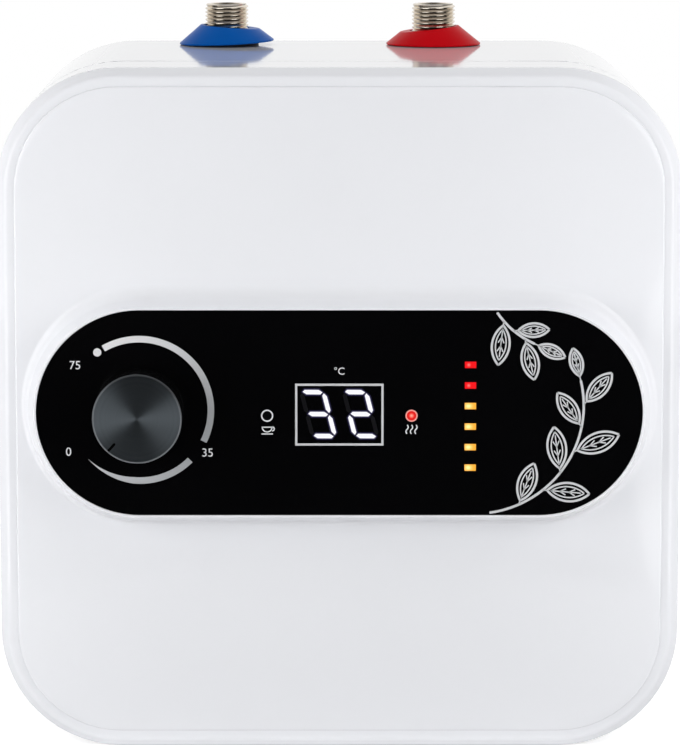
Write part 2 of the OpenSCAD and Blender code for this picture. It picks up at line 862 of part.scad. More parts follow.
module tank() {
    color("lightsteelblue") difference() {
        union() {
            facing(0, 0, tank_z) {
                dished_body(0);
                translate([0, 0, -tank_front_y - tank_dish])
                    cylinder(r = neck_r + neck_t, h = neck_rise + tank_dish);
                translate([0, 0, -ring_y - ring_t]) cylinder(r = flange_r, h = ring_t);
            }
            each_nipple() translate([0, 0, nipple_end + socket_l])
                cylinder(r = socket_r, h = tank_z + tank_r + socket_rise - nipple_end - socket_l);
        }
        facing(0, 0, tank_z) {
            dished_body(-tank_t);
            translate([0, 0, -tank_front_y - 2 * tank_dish])
                cylinder(r = neck_r, h = neck_rise + 2 * tank_dish + 1);
            each_bolt() translate([0, 0, -ring_y - 2 * ring_t])
                cylinder(d = bolt_d + 2 * bolt_clear, h = 3 * ring_t);
        }
        each_nipple() translate([0, 0, mid_z]) cylinder(r = shank_r + fit / 2, h = case_h);
    }
}

module each_bolt() {
    for (k = [0:bolt_count - 1]) rotate([0, 0, 360 / bolt_count * (k + 0.5)])
        translate([bolt_ring_r, 0, 0]) children();
}

module each_leg() {
    for (p = element_at) translate([p[0], p[1], 0]) children();
}

module flange_plate() {
    color("gainsboro") facing(gasket_y, 0, tank_z) difference() {
        cylinder(r = flange_r, h = flange_t);
        translate([0, 0, -1]) {
            each_bolt() cylinder(d = bolt_d + 2 * bolt_clear, h = flange_t + 2);
            each_leg() cylinder(d = element_d + 2 * bolt_clear, h = flange_t + 2);
            translate(anode_at) cylinder(d = stud_d + 2 * bolt_clear, h = flange_t + 2);
            translate(well_at) cylinder(d = well_d + 2 * bolt_clear, h = flange_t + 2);
            translate(earth_at) cylinder(d = 4 + bolt_clear, h = flange_t + 2);
        }
    }
}

module flange_gasket() {
    color("black") facing(ring_y, 0, tank_z) difference() {
        ring(flange_r - 1, neck_r - 1, gasket_t);
        translate([0, 0, -1]) each_bolt() cylinder(d = bolt_d + 2 * bolt_clear, h = gasket_t + 2);
    }
}

module flange_bolts() {
    nut_gap = 1;
    reach = flange_t + gasket_t + ring_t;
    color("silver") facing(flange_y, 0, tank_z) each_bolt() {
        hex(nut_flats, nut_h);
        translate([0, 0, -reach - nut_h - nut_gap]) cylinder(d = bolt_d, h = reach + nut_h + nut_gap);
        translate([0, 0, -reach - nut_h]) hex(nut_flats, nut_h);
    }
}

module heating_element() {
    straight = element_l - element_pitch / 2;
    color("peru") facing(flange_y, 0, tank_z) {
        each_leg() translate([0, 0, -straight]) cylinder(d = element_d, h = straight + leg_rise);
        translate([0, -element_drop, -straight]) rotate([-90, 0, 0])
            rotate_extrude(angle = 180) translate([element_pitch / 2, 0]) circle(d = element_d);
    }
}

module element_insulators() {
    color("ivory") facing(flange_y - leg_rise, 0, tank_z) each_leg()
        ring(element_d / 2 - 0.4, pin_d / 2 + bolt_clear, insulator_h);
}

module element_terminals() {
    spade = [6.3, 0.8, 7];
    color("gold") facing(flange_y - leg_rise, 0, tank_z) each_leg() {
        cylinder(d = pin_d, h = pin_l);
        translate([0, 0, pin_l + spade[2] / 2 - 1]) cube(spade, center = true);
    }
}

module anode_rod() {
    color("darkgray") facing(flange_y, anode_at[0], tank_z + anode_at[1]) {
        translate([0, 0, -flange_t - fit - anode_l]) cylinder(d = anode_d, h = anode_l);
        translate([0, 0, -flange_t - 2]) cylinder(d = stud_d, h = flange_t + 2 + nut_h + 1);
        hex(nut_flats, nut_h);
    }
}

module thermowell() {
    color("silver") facing(flange_y, well_at[0], tank_z + well_at[1]) difference() {
        union() {
            translate([0, 0, -well_l]) cylinder(d = well_d, h = well_l + 1);
            cylinder(d = well_d + 3, h = 1.5);
        }
        translate([0, 0, well_t - well_l]) cylinder(d = well_d - 2 * well_t, h = well_l + 2);
    }
}

module sensor_bulb() {
    color("peru") facing(flange_y - 4, well_at[0], tank_z + well_at[1])
        translate([0, 0, fit - well_l - 2]) cylinder(d = bulb_d, h = well_l + 2 - fit);
}

module capillary_tube() {
    from = [knob_x + thermostat_w / 2, body_y + thermostat_depth / 2, knob_z - 8];
    to = [well_at[0], flange_y - 4, tank_z + well_at[1]];
    color("peru") tube([
        from + [fit, 0, 0],
        from + [8, 1, 1],
        from + [17, 3, 18],
        to + [-22, -9, 8],
        to + [-6, -7, 3],
        to + [0, -4, 0.5],
        to + [0, -fit, 0]
    ], capillary_d);
}

module dip_tube() {
    top = nipple_end + socket_l - fit;
    bottom = tank_z - dip_drop;
    color("white") translate([cold_x, nipple_y, bottom]) difference() {
        ring(dip_r - bolt_clear, dip_r - dip_t, top - bottom);
        for (k = [0:2]) translate([0, 0, 8 + 10 * k]) rotate([90, 0, 60 * k])
            cylinder(d = 5, h = 4 * dip_r, center = true);
    }
}

module thermal_cutout() {
    spade = [6.3, 0.8, 6];
    color("saddlebrown") facing(flange_y, cutout_at[0], tank_z + cutout_at[1]) difference() {
        union() {
            cylinder(d = cutout_d, h = cutout_h);
            for (s = [-1, 1]) translate([s * (cutout_d / 2 + spade[2] / 2 - 1), 0, cutout_h / 2])
                cube([spade[2], spade[0], spade[1]], center = true);
        }
        translate([0, 0, cutout_h / 2]) cylinder(d = button_d + 2 * button_clear, h = cutout_h);
    }
}

module reset_button() {
    stem = cutout_h / 2 - shaft_end_gap;
    color("red") facing(flange_y - cutout_h / 2 - shaft_end_gap, cutout_at[0], tank_z + cutout_at[1])
        cylinder(d = button_d, h = stem + button_rise);
}

// Water connections

module nipple(x) {
    translate([x, nipple_y, 0]) difference() {
        union() {
            translate([0, 0, nipple_end])
                cylinder(r = shank_r, h = nipple_top - thread_l - nipple_bevel - nipple_end);
            translate([0, 0, nipple_top - thread_l - nipple_bevel]) cylinder(r = thread_r, h = thread_l);
            translate([0, 0, nipple_top - nipple_bevel])
                cylinder(r1 = thread_r, r2 = thread_r - nipple_bevel, h = nipple_bevel);
        }
        translate([0, 0, nipple_end - 1]) cylinder(d = nipple_bore, h = case_h);
        translate([0, 0, nipple_end - 1]) cylinder(r = dip_r, h = socket_l + 1);
    }
}

module cold_nipple() {
    color("silver") nipple(cold_x);
}

module hot_nipple() {
    color("silver") nipple(hot_x);
}

module collar(x, turn) {
    foot_r = collar_d / 2;
    bore_r = thread_r + collar_clear;
    translate([x, nipple_y, case_h + collar_rest]) rotate([0, 0, turn]) intersection() {
        rotate_extrude() polygon([
            [foot_r - collar_t, 0],
            [foot_r, 0],
            [collar_neck_r, collar_cone_h],
            [collar_neck_r, 2 * collar_h],
            [bore_r, 2 * collar_h],
            [bore_r, collar_bore_z],
            [foot_r - 2 * collar_t, collar_t / 4]
        ]);
        translate([0, 0, collar_h]) rotate([0, collar_slant, 0])
            translate([0, 0, -2 * collar_h])
                cube([2 * collar_d, 2 * collar_d, 4 * collar_h], center = true);
    }
}

module cold_collar() {
    color("royalblue") collar(cold_x, 0);
}

module hot_collar() {
    color("red") collar(hot_x, 180);
}

module nipple_grommets() {
    lip_r = grommet_r + grommet_lip;
    color("black") each_nipple() difference() {
        union() {
            translate([0, 0, case_h - wall - grommet_lip_t]) cylinder(r = lip_r, h = grommet_lip_t);
            translate([0, 0, case_h - wall - grommet_lip_t])
                cylinder(r = grommet_r, h = wall + 2 * grommet_lip_t);
            translate([0, 0, case_h]) cylinder(r = lip_r, h = grommet_lip_t);
        }
        translate([0, 0, case_h - 2 * wall - grommet_lip_t])
            cylinder(r = shank_r + fit, h = 4 * wall + 2 * grommet_lip_t);
    }
}

// Foam

module foam_cuts() {
    facing(0, 0, tank_z) {
        dished_body(foam_fit);
        translate([0, 0, -tank_front_y - 2 * tank_dish])
            cylinder(r = flange_r + foam_fit + 2, h = 3 * tank_dish + neck_rise);
    }
    each_nipple() translate([0, 0, mid_z]) cylinder(r = grommet_r + grommet_lip + foam_fit, h = case_h);
    each_cover_screw() translate([-tab_w / 2 - foam_fit, seam_y - cover_screw_y - skirt_depth, 0])
        cube([tab_w + 2 * foam_fit,
              skirt_depth + 2 * (cover_screw_y - seam_y),
              wall + fit + tab_h + pocket_room]);
    block_half = block_w / 2 + block_rib + fit + foam_fit;
    translate([block_x - block_half, foam_front_y - 1, 0])
        cube([case_w,
              block_y + block_depth / 2 + pocket_room - foam_front_y + 1,
              wall + block_h + lead_room]);
    cord_room = cord_d / 2 + cord_wall + cord_lip + pocket_room;
    translate([block_x + block_half - 2 * pocket_room, foam_front_y - 1, 0])
        cube([case_w, cord_y + cord_room - foam_front_y + 1, cord_z + cord_room]);
}

module insulation_front() {
    color("lightyellow") difference() {
        facing(foam_split_y, 0, mid_z) linear_extrude(foam_split_y - foam_front_y)
            rounded_rect(case_w - 2 * front_inset, case_h - 2 * front_inset, corner_r - front_inset);
        foam_cuts();
    }
}

module insulation_rear() {
    inset = wall + foam_fit;
    bend_y = rear_y - back_edge_r;
    color("lightyellow") difference() {
        union() {
            facing(bend_y, 0, mid_z) linear_extrude(bend_y - foam_split_y - foam_fit)
                rounded_rect(case_w - 2 * inset, case_h - 2 * inset, corner_r - inset);
            facing(rear_y - inset, 0, mid_z) linear_extrude(back_edge_r - inset + 1)
                rounded_rect(case_w - 2 * back_edge_r, case_h - 2 * back_edge_r, corner_r - back_edge_r);
        }
        foam_cuts();
        translate([-hanger_w / 2 - foam_fit,
                   hanger_y - hanger_t - hanger_room,
                   hanger_z - hanger_h / 2 - foam_fit])
            cube([hanger_w + 2 * foam_fit, case_depth, hanger_h + 2 * foam_fit]);
    }
}

// Fixing and wiring

module hanger_plate() {
    color("silver") difference() {
        facing(hanger_y, 0, hanger_z) linear_extrude(hanger_t) rounded_rect(hanger_w, hanger_h, 8);
        each_keyhole() backing(hanger_y - 2 * hanger_t) keyhole(3 * hanger_t);
        each_stake(stake_r + fit / 2);
    }
}

module terminal_block() {
    bores = 3;
    bore_d = 4.4;
    color("ivory") difference() {
        translate([block_x - block_w / 2, block_y - block_depth / 2, wall])
            cube([block_w, block_depth, block_h]);
        for (k = [0:bores - 1])
            translate([block_x + (k - 1) * block_w / bores, block_y, wall + block_h / 2]) {
            rotate([90, 0, 0]) cylinder(d = bore_d, h = block_depth + 2, center = true);
            cylinder(d = bore_d, h = block_h);
        }
    }
}

module earth_screw() {
    color("gold") facing(flange_y, earth_at[0], tank_z + earth_at[1]) {
        cylinder(d = 8, h = 2.5);
        translate([0, 0, -flange_t]) cylinder(d = 4, h = flange_t + 2);
    }
}

// Where a lead leaves the front of the terminal block, by its place in the row
function block_exit(k) =
    [block_x + (k - 1) * block_w / 3, block_y - block_depth / 2 - fit, wall + block_h / 2];

// Where a lead meets a spade on the heater flange
function flange_spade(p, rise) = [p[0], flange_y - rise - fit, tank_z + p[1]];

lead_lane_y = foam_front_y - 8;

module lead(k, end, lane, lift) {
    tube([
        block_exit(k),
        block_exit(k) + [0, -8, 0],
        [block_exit(k)[0], foam_front_y + 4, wall + block_h / 2],
        [block_exit(k)[0] - 4, lane, wall + block_h / 2 + 14],
        [(block_exit(k)[0] + end[0]) / 2 + 8, lane, lift],
        end + [3, -5, -6],
        end + [0, -4, -1],
        end
    ], lead_d);
}

module live_lead() {
    color("saddlebrown")
        lead(2, flange_spade([cutout_at[0] + cutout_d / 2 + 4, cutout_at[1]], cutout_h / 2 + 1),
        lead_lane_y - 3, 96);
}

module neutral_lead() {
    color("steelblue") lead(1, flange_spade(element_at[1], leg_rise + pin_l + 6), lead_lane_y, 86);
}

module earth_lead() {
    color("yellowgreen") lead(0, flange_spade(earth_at, 2.5), lead_lane_y, 70);
}

module link_lead() {
    from = flange_spade([cutout_at[0] - cutout_d / 2 - 4, cutout_at[1]], cutout_h / 2 + 1);
    to = flange_spade(element_at[0], leg_rise + pin_l + 6);
    color("saddlebrown") tube([
        from,
        from + [0, -3, 0],
        from + [-5, -8, -2],
        to + [-6, -5, 6],
        to + [-1, -4, 1],
        to
    ], lead_d);
}

module display_lead() {
    from = [board_x + board_w / 4, board_y + board_t + 2 * fit, board_z - board_h / 4];
    to = [block_x, block_y, wall + block_h + fit];
    color("dimgray") tube([
        from,
        from + [0, 3, 0],
        from + [6, 6, -8],
        [to[0] + 18, foam_front_y - 12, 80],
        [to[0] + 12, foam_front_y - 8, wall + block_h + 16],
        [to[0] + 4, foam_front_y + 14, wall + block_h + 8],
        to + [0, -4, 6],
        to + [0, 0, 4],
        to
    ], lead_d);
}

module cord_grommet() {
    neck_r = cord_d / 2 + cord_wall;
    color("black") translate([case_w / 2 - wall - cord_lip, cord_y, cord_z]) rotate([0, 90, 0])
        difference() {
        union() {
            cylinder(r = neck_r + cord_lip, h = cord_lip);
            cylinder(r = neck_r, h = wall + 2 * cord_lip);
            translate([0, 0, cord_lip + wall])
                cylinder(r1 = neck_r + cord_lip, r2 = neck_r, h = cord_lip);
        }
        translate([0, 0, -1]) cylinder(d = cord_d, h = wall + 2 * cord_lip + 2);
    }
}

rear_shell();
front_cover();
cover_screws();
control_panel();
display_window();
level_guides_red();
level_guides_amber();
heating_lamp_guide();
holding_lamp_guide();
display_board();
digit_module();
indicator_leds();
board_screws();
knob_shell();
knob_core();
knob_pointer();
thermostat_shaft();
thermostat_body();
thermostat_screws();
capillary_tube();
sensor_bulb();
tank();
flange_plate();
flange_gasket();
flange_bolts();
heating_element();
element_insulators();
element_terminals();
anode_rod();
thermowell();
dip_tube();
cold_nipple();
hot_nipple();
cold_collar();
hot_collar();
nipple_grommets();
insulation_front();
insulation_rear();
hanger_plate();
thermal_cutout();
reset_button();
terminal_block();
earth_screw();
live_lead();
neutral_lead();
earth_lead();
link_lead();
display_lead();
cord_grommet();
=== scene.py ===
"""Looks of a compact electric water heater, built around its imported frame.

Sizes are in millimetres on the frame's own axes: X runs to the right, Y to the back and Z up.
Angles are in degrees, anticlockwise from the right as the front is seen.
"""

import functools
import json
import logging
import math
from dataclasses import dataclass
from enum import Enum
from typing import Any, Iterable, Sequence

import bmesh
import bpy
from mathutils import Matrix, Vector


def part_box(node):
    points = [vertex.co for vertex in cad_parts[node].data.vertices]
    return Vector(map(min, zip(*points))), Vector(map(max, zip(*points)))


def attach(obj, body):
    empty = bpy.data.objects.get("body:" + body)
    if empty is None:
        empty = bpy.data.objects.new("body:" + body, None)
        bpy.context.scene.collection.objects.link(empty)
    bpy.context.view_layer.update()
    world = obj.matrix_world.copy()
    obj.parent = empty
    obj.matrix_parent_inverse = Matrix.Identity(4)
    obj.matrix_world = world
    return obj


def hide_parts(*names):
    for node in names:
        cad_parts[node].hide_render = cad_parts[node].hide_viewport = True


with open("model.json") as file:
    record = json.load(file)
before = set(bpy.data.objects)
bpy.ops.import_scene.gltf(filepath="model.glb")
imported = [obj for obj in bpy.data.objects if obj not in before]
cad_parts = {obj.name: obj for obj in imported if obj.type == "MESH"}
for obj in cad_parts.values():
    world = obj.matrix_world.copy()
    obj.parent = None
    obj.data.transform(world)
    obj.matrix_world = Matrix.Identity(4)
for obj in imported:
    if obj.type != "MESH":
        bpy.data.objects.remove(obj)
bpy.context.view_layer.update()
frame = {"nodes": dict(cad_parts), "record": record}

# Metres in a millimetre
MM = 0.001
# Points nearer than this are one, and heights nearer than this are the same
WELD = 0.0005
SAME_HEIGHT = 0.005
# Faces that meet at more than this keep a sharp edge
SHARP = math.radians(32)
# Longest facet of a printed arc
ARC_STEP = 3.0
# Bow of a stroke that looks straight
STRAIGHT = 0.01
HEXAGON = 6
# A Mix node's sockets by number, because their names repeat: its share, its two colours and their mix
MIX_SHARE, MIX_FROM, MIX_TO, MIX_COLOUR = 0, 6, 7, 2
RIGHT = Vector((1.0, 0.0, 0.0))
UP = Vector((0.0, 0.0, 1.0))
OUT = Vector((0.0, -1.0, 0.0))
IN_PLAN = Vector((1.0, 1.0, 0.0))
STANDING = Matrix.Rotation(math.pi / 2, 4, "X")
Point = tuple[float, float]
Place = tuple[float, float, float]
Verts = list[bmesh.types.BMVert]
Edges = list[bmesh.types.BMEdge]
Tree = bpy.types.NodeTree
Socket = bpy.types.NodeSocket
log = logging.getLogger("heater")


class Body(Enum):
    """Bodies of the frame that a piece can ride on."""

    CASING = "casing"
    KNOB = "control_knob"
    COLD_COLLAR = "cold_collar"
    HOT_COLLAR = "hot_collar"


def box(node: str) -> tuple[Vector, Vector]:
    """Gives a frame node's lowest and highest corners in millimetres."""
    low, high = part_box(node)
    return low / MM, high / MM


def middle(node: str) -> Vector:
    """Gives the middle of a frame node's box in millimetres."""
    low, high = box(node)
    return (low + high) / 2


def linear(colour: str) -> tuple[float, float, float, float]:
    """Turns an sRGB hex colour into linear light.

    Args:
        colour: A hash sign and six hex digits.

    Returns:
        Red, green, blue and an alpha of 1.
    """
    channels = [int(colour[i:i + 2], 16) / 255 for i in (1, 3, 5)]
    light = [c / 12.92 if c <= 0.04045 else ((c + 0.055) / 1.055) ** 2.4 for c in channels]
    return (light[0], light[1], light[2], 1.0)


def blank_tree(owner: bpy.types.Material | bpy.types.World) -> Tree:
    """Clears the nodes of a new material or world.

    Args:
        owner: The material or the world.

    Returns:
        Its empty tree.
    """
    owner.use_nodes = True
    owner.node_tree.nodes.clear()
    return owner.node_tree


def add_node(
    tree: Tree, kind: str, inputs: dict[str | int, Any] | None = None, **settings: Any
) -> bpy.types.Node:
    """Adds one node to a tree.

    Args:
        tree: The tree that gets the node.
        kind: The node's type name, without the prefix that all shader nodes share.
        inputs: A value to set, or a socket to link, by input socket.
        settings: Values by property.

    Returns:
        The new node.
    """
    node = tree.nodes.new("ShaderNode" + kind)
    for name, value in settings.items():
        setattr(node, name, value)
    for name, value in (inputs or {}).items():
        if isinstance(value, Socket):
            tree.links.new(value, node.inputs[name])
        else:
            node.inputs[name].default_value = value
    return node


# Finishes

class Grain(Enum):
    """Kinds of fine relief, as a texture and its stretch along X, Y and Z."""

    PEEL = ("TexNoise", (1.0, 1.0, 1.0))
    DRAWN = ("TexNoise", (1.0, 0.06, 1.0))
    UPRIGHT = ("TexNoise", (1.0, 1.0, 0.06))
    CELLS = ("TexVoronoi", (1.0, 1.0, 1.0))


@dataclass(frozen=True)
class Finish:
    """A surface with soft patches of tone and gloss and a fine relief.

    Attributes:
        name: What the material is and how its surface was made.
        colour: Main colour.
        shade: Colour of the patches.
        roughness: Mean roughness.
        spread: How far the roughness wanders.
        mottle_mm: Size of the patches.
        grain_mm: Size of the relief's grains.
        relief_mm: Height of the relief.
        grain: Kind of relief.
        metallic: 1 for a bare metal.
        ior: Index of refraction.
    """

    name: str
    colour: str
    shade: str
    roughness: float
    spread: float = 0.02
    mottle_mm: float = 40.0
    grain_mm: float = 3.0
    relief_mm: float = 0.002
    grain: Grain = Grain.PEEL
    metallic: float = 0.0
    ior: float = 1.5

    def material(self) -> bpy.types.Material:
        """Gives the finish's material, made once."""
        return finished(self)

    def vary(self, tree: Tree, tone: Socket, gloss: Socket) -> dict[str, Any]:
        """Lets the colour and the gloss wander.

        Args:
            tree: The material's node tree.
            tone: Share of the shade in the colour.
            gloss: Share of the roughness's spread.

        Returns:
            Sockets by the shader's input.
        """
        colours = {MIX_FROM: linear(self.colour), MIX_TO: linear(self.shade)}
        colour = add_node(tree, "Mix", {MIX_SHARE: tone, **colours}, data_type="RGBA")
        reach = {"To Min": self.roughness - self.spread, "To Max": self.roughness + self.spread}
        rough = add_node(tree, "MapRange", {"Value": gloss, **reach})
        return {"Base Color": colour.outputs[MIX_COLOUR], "Roughness": rough.outputs[0]}

    def shading(self, tree: Tree, place: Socket, patches: Socket) -> Socket:
        """Gives the share of the shade at a place, which here is that of the patches."""
        return patches

    def dress(self, tree: Tree) -> dict[str, Any]:
        """Lays out the finish's patterns.

        Args:
            tree: The material's node tree.

        Returns:
            Values and sockets by the shader's input.
        """
        place = add_node(tree, "TexCoord").outputs["Object"]
        size = 1 / (self.mottle_mm * MM)
        patches = add_node(tree, "TexNoise", {"Vector": place, "Scale": size, "Detail": 3.0}).outputs[0]
        texture, stretch = self.grain.value
        lay = add_node(tree, "Mapping", {"Vector": place, "Scale": stretch}).outputs[0]
        grains = add_node(tree, texture, {"Vector": lay, "Scale": 1 / (self.grain_mm * MM)}).outputs[0]
        relief = add_node(tree, "Bump", {"Height": grains, "Distance": self.relief_mm * MM}).outputs[0]
        varied = self.vary(tree, self.shading(tree, place, patches), patches)
        return {**varied, "Normal": relief, "Metallic": self.metallic, "IOR": self.ior}


@functools.cache
def finished(finish: Finish) -> bpy.types.Material:
    """Builds a finish's material.

    Args:
        finish: The finish to build.

    Returns:
        Its material.
    """
    material = bpy.data.materials.new(finish.name)
    tree = blank_tree(material)
    shader = add_node(tree, "BsdfPrincipled", finish.dress(tree))
    add_node(tree, "OutputMaterial", {"Surface": shader.outputs[0]})
    return material


@dataclass(frozen=True)
class InkWithPaintedLight(Finish):
    """Ink with a painted falloff of light across the print, with its mesh just showing.

    Attributes:
        bright: X and Z where the painted light is brightest.
        dull: X and Z where the painted light is dimmest.
    """

    bright: Point = (0.0, 0.0)
    dull: Point = (1.0, 0.0)

    def shading(self, tree: Tree, place: Socket, patches: Socket) -> Socket:
        """Works out how far a place is on the way from the painted light's brightest place to its dimmest.

        Args:
            tree: The material's node tree.
            place: The place.
            patches: The plain finish's share, which the painted falloff of light stands in for; not used.

        Returns:
            The share of the shade.
        """
        start, stop = (Vector((x, 0.0, z)) * MM for x, z in (self.bright, self.dull))
        way = (stop - start) / (stop - start).length_squared
        gone = add_node(tree, "VectorMath", {0: place, 1: start}, operation="SUBTRACT").outputs[0]
        return add_node(tree, "VectorMath", {0: gone, 1: way}, operation="DOT_PRODUCT").outputs["Value"]


@dataclass(frozen=True)
class SpunMetal(Finish):
    """A turned metal face, whose fine rings draw light out into a bow tie.

    Attributes:
        centre: X, Y and Z of the turning axis.
        anisotropy: How far the highlight is drawn out.
        ring_mm: Spacing of the turned rings, wider than real ones so that they show.
    """

    centre: Place = (0.0, 0.0, 0.0)
    anisotropy: float = 0.95
    ring_mm: float = 1.2

    def dress(self, tree: Tree) -> dict[str, Any]:
        """Lays out rings of tone and gloss, and the direction of the rings.

        Args:
            tree: The material's node tree.

        Returns:
            Values and sockets by the shader's input.
        """
        place = add_node(tree, "TexCoord").outputs["Object"]
        origin = [-c * MM for c in self.centre]
        arm = add_node(tree, "Mapping", {"Vector": place, "Location": origin}).outputs[0]
        flat = add_node(tree, "VectorMath", {0: arm, 1: (1.0, 0.0, 1.0)}, operation="MULTIPLY").outputs[0]
        radius = add_node(tree, "VectorMath", {0: flat}, operation="LENGTH").outputs["Value"]
        lines = {"W": radius, "Scale": 1 / (self.ring_mm * MM), "Detail": 2.0}
        rings = add_node(tree, "TexNoise", lines, noise_dimensions="1D").outputs[0]
        outward = add_node(
            tree, "VectorTransform", {0: flat},
            vector_type="VECTOR", convert_from="OBJECT", convert_to="WORLD",
        )
        return {**self.vary(tree, rings, rings), "Metallic": self.metallic,
                "Anisotropic": self.anisotropy, "Tangent": outward.outputs[0]}


@dataclass(frozen=True)
class LampGlow(Finish):
    """A moulded light guide, brightest where its lamp sits behind it.

    Attributes:
        core: Colour over the lamp.
        spot: X and Z of the first lamp.
        spot_mm: Reach of the bright spot, across and up.
        pitch_mm: Spacing of the lamps up the row.
    """

    core: str = "#FFFFFF"
    spot: Point = (0.0, 0.0)
    spot_mm: Point = (2.0, 2.0)
    pitch_mm: float = 1000.0

    def dress(self, tree: Tree) -> dict[str, Any]:
        """Lays out the bright spot of each lamp.

        Args:
            tree: The material's node tree.

        Returns:
            Values and sockets by the shader's input.
        """
        (x, z), (wide, high) = self.spot, self.spot_mm
        place = add_node(tree, "TexCoord").outputs["Object"]
        offset = add_node(tree, "Mapping", {"Vector": place, "Location": (-x * MM, 0.0, -z * MM)}).outputs[0]
        parts = add_node(tree, "SeparateXYZ", {0: offset}).outputs
        climb = add_node(tree, "Math", {0: parts["Z"], 1: self.pitch_mm * MM / 2}, operation="PINGPONG")
        near = add_node(tree, "CombineXYZ", {"X": parts["X"], "Z": climb.outputs[0]}).outputs[0]
        reach = (1 / (wide * MM), 1.0, 1 / (high * MM))
        share = add_node(tree, "Mapping", {"Vector": near, "Scale": reach}).outputs[0]
        fall = add_node(tree, "TexGradient", {"Vector": share}, gradient_type="QUADRATIC_SPHERE")
        light, tone = (
            add_node(
                tree, "Mix",
                {MIX_SHARE: fall.outputs["Fac"], MIX_FROM: linear(rim), MIX_TO: linear(heart)},
                data_type="RGBA",
            ).outputs[MIX_COLOUR]
            for rim, heart in ((self.colour, self.core), (self.shade, self.colour))
        )
        return {"Base Color": tone, "Roughness": self.roughness,
                "Emission Color": light, "Emission Strength": 1.0}


@dataclass(frozen=True)
class BarGlow(Finish):
    """Lit bars of a digit, with a faint bloom round each.

    Attributes:
        bloom: Colour of the light that spills round a bar.
        layer: Attribute that is 1 on a bar and falls to 0 at the end of its bloom.
        full: Share of the layer from which a bar is fully lit.
    """

    bloom: str = "#000000"
    layer: str = "glow"
    full: float = 0.98

    def dress(self, tree: Tree) -> dict[str, Any]:
        """Lays out the light of the bars and of their bloom.

        Args:
            tree: The material's node tree.

        Returns:
            Values and sockets by the shader's input.
        """
        share = add_node(tree, "Attribute", attribute_name=self.layer).outputs["Fac"]
        edges = {MIX_SHARE: share, MIX_FROM: linear("#000000"), MIX_TO: linear(self.bloom)}
        spill = add_node(tree, "Mix", edges, data_type="RGBA").outputs[MIX_COLOUR]
        lit = add_node(tree, "Math", {0: share, 1: self.full}, operation="GREATER_THAN").outputs[0]
        bars = {MIX_SHARE: lit, MIX_FROM: spill, MIX_TO: linear(self.colour)}
        light = add_node(tree, "Mix", bars, data_type="RGBA").outputs[MIX_COLOUR]
        return {"Base Color": linear(self.shade), "Roughness": self.roughness,
                "Emission Color": light, "Emission Strength": 1.0}


# ABS moulded in a polished tool: a deep even gloss with the faintest waviness
WHITE_ABS = Finish(
    "moulded_white_abs", "#EBECF0", "#E7E8EC",
    roughness=0.06, spread=0.015, mottle_mm=90.0, grain_mm=14.0, relief_mm=0.003,
)
# Screen-printed ink: pale, a little chalky, its mesh drawn coarse enough to show
SILVER_INK = Finish(
    "screen_printed_silver_ink", "#D2D3D5", "#B9BBBE",
    roughness=0.42, spread=0.05, mottle_mm=9.0, grain_mm=0.5, relief_mm=0.004,
)
WHITE_INK = Finish(
    "screen_printed_white_ink", "#E4E5E8", "#D4D5D9",
    roughness=0.45, spread=0.05, mottle_mm=9.0, grain_mm=0.5, relief_mm=0.004,
)
# The same white ink, flushed by the red lamp that it rings
LIT_INK = Finish(
    "screen_printed_ink_in_red_light", "#F2A79C", "#E8968C",
    roughness=0.45, spread=0.05, mottle_mm=9.0, grain_mm=0.5, relief_mm=0.004,
)
# Resin bars behind smoked acrylic: unlit ones barely show, lit ones are white with a violet bloom
UNLIT_BAR = Finish(
    "unlit_digit_bar", "#0C0C10", "#08080B",
    roughness=0.3, spread=0.03, mottle_mm=4.0, grain_mm=0.5, relief_mm=0.002,
)
LIT_BAR = BarGlow("lit_digit_bar", "#FBFBFF", "#050506", roughness=0.2, bloom="#3F3C63")
# Paint filled into a groove: a dead black line
POINTER_BLACK = Finish(
    "filled_black_paint", "#020202", "#040404",
    roughness=0.6, spread=0.05, mottle_mm=3.0, grain_mm=0.3, relief_mm=0.002, ior=1.06,
)
# Anodised aluminium: black with a soft drawn sheen
BLACK_ANODISED = Finish(
    "black_anodised_aluminium", "#060607", "#0A0A0B",
    roughness=0.2, spread=0.03, mottle_mm=8.0, grain_mm=0.4, relief_mm=0.002, grain=Grain.DRAWN, ior=1.3,
)
# Aluminium cut bare at the knob's bevel: a thin bright line round its face
CUT_EDGE = Finish(
    "cut_aluminium", "#8A8E92", "#808488",
    roughness=0.35, spread=0.03, mottle_mm=8.0, grain_mm=0.4, relief_mm=0.001, metallic=1.0,
)
# Turned nickel-plated brass: bright, faintly warm, with soft patches of tone
NICKEL = Finish(
    "plated_nickel", "#F2E9DC", "#CFC5B5",
    roughness=0.2, spread=0.04, mottle_mm=6.0, grain_mm=1.2, relief_mm=0.0006, metallic=1.0,
)
# Polypropylene moulded in a dull tool: a full colour with hardly a highlight
BLUE_PLASTIC = Finish(
    "moulded_blue_polypropylene", "#005BB4", "#0053A6",
    roughness=0.34, spread=0.04, mottle_mm=14.0, grain_mm=1.2, relief_mm=0.006, ior=1.15,
)
RED_PLASTIC = Finish(
    "moulded_red_polypropylene", "#D00414", "#C20210",
    roughness=0.34, spread=0.04, mottle_mm=14.0, grain_mm=1.2, relief_mm=0.006, ior=1.15,
)
# Rolled stainless steel: grey with fine upright lines
STEEL = Finish(
    "rolled_stainless_steel", "#B4B6B8", "#9FA2A5",
    roughness=0.3, spread=0.06, mottle_mm=20.0, grain_mm=0.6, relief_mm=0.004, grain=Grain.UPRIGHT,
    metallic=1.0,
)
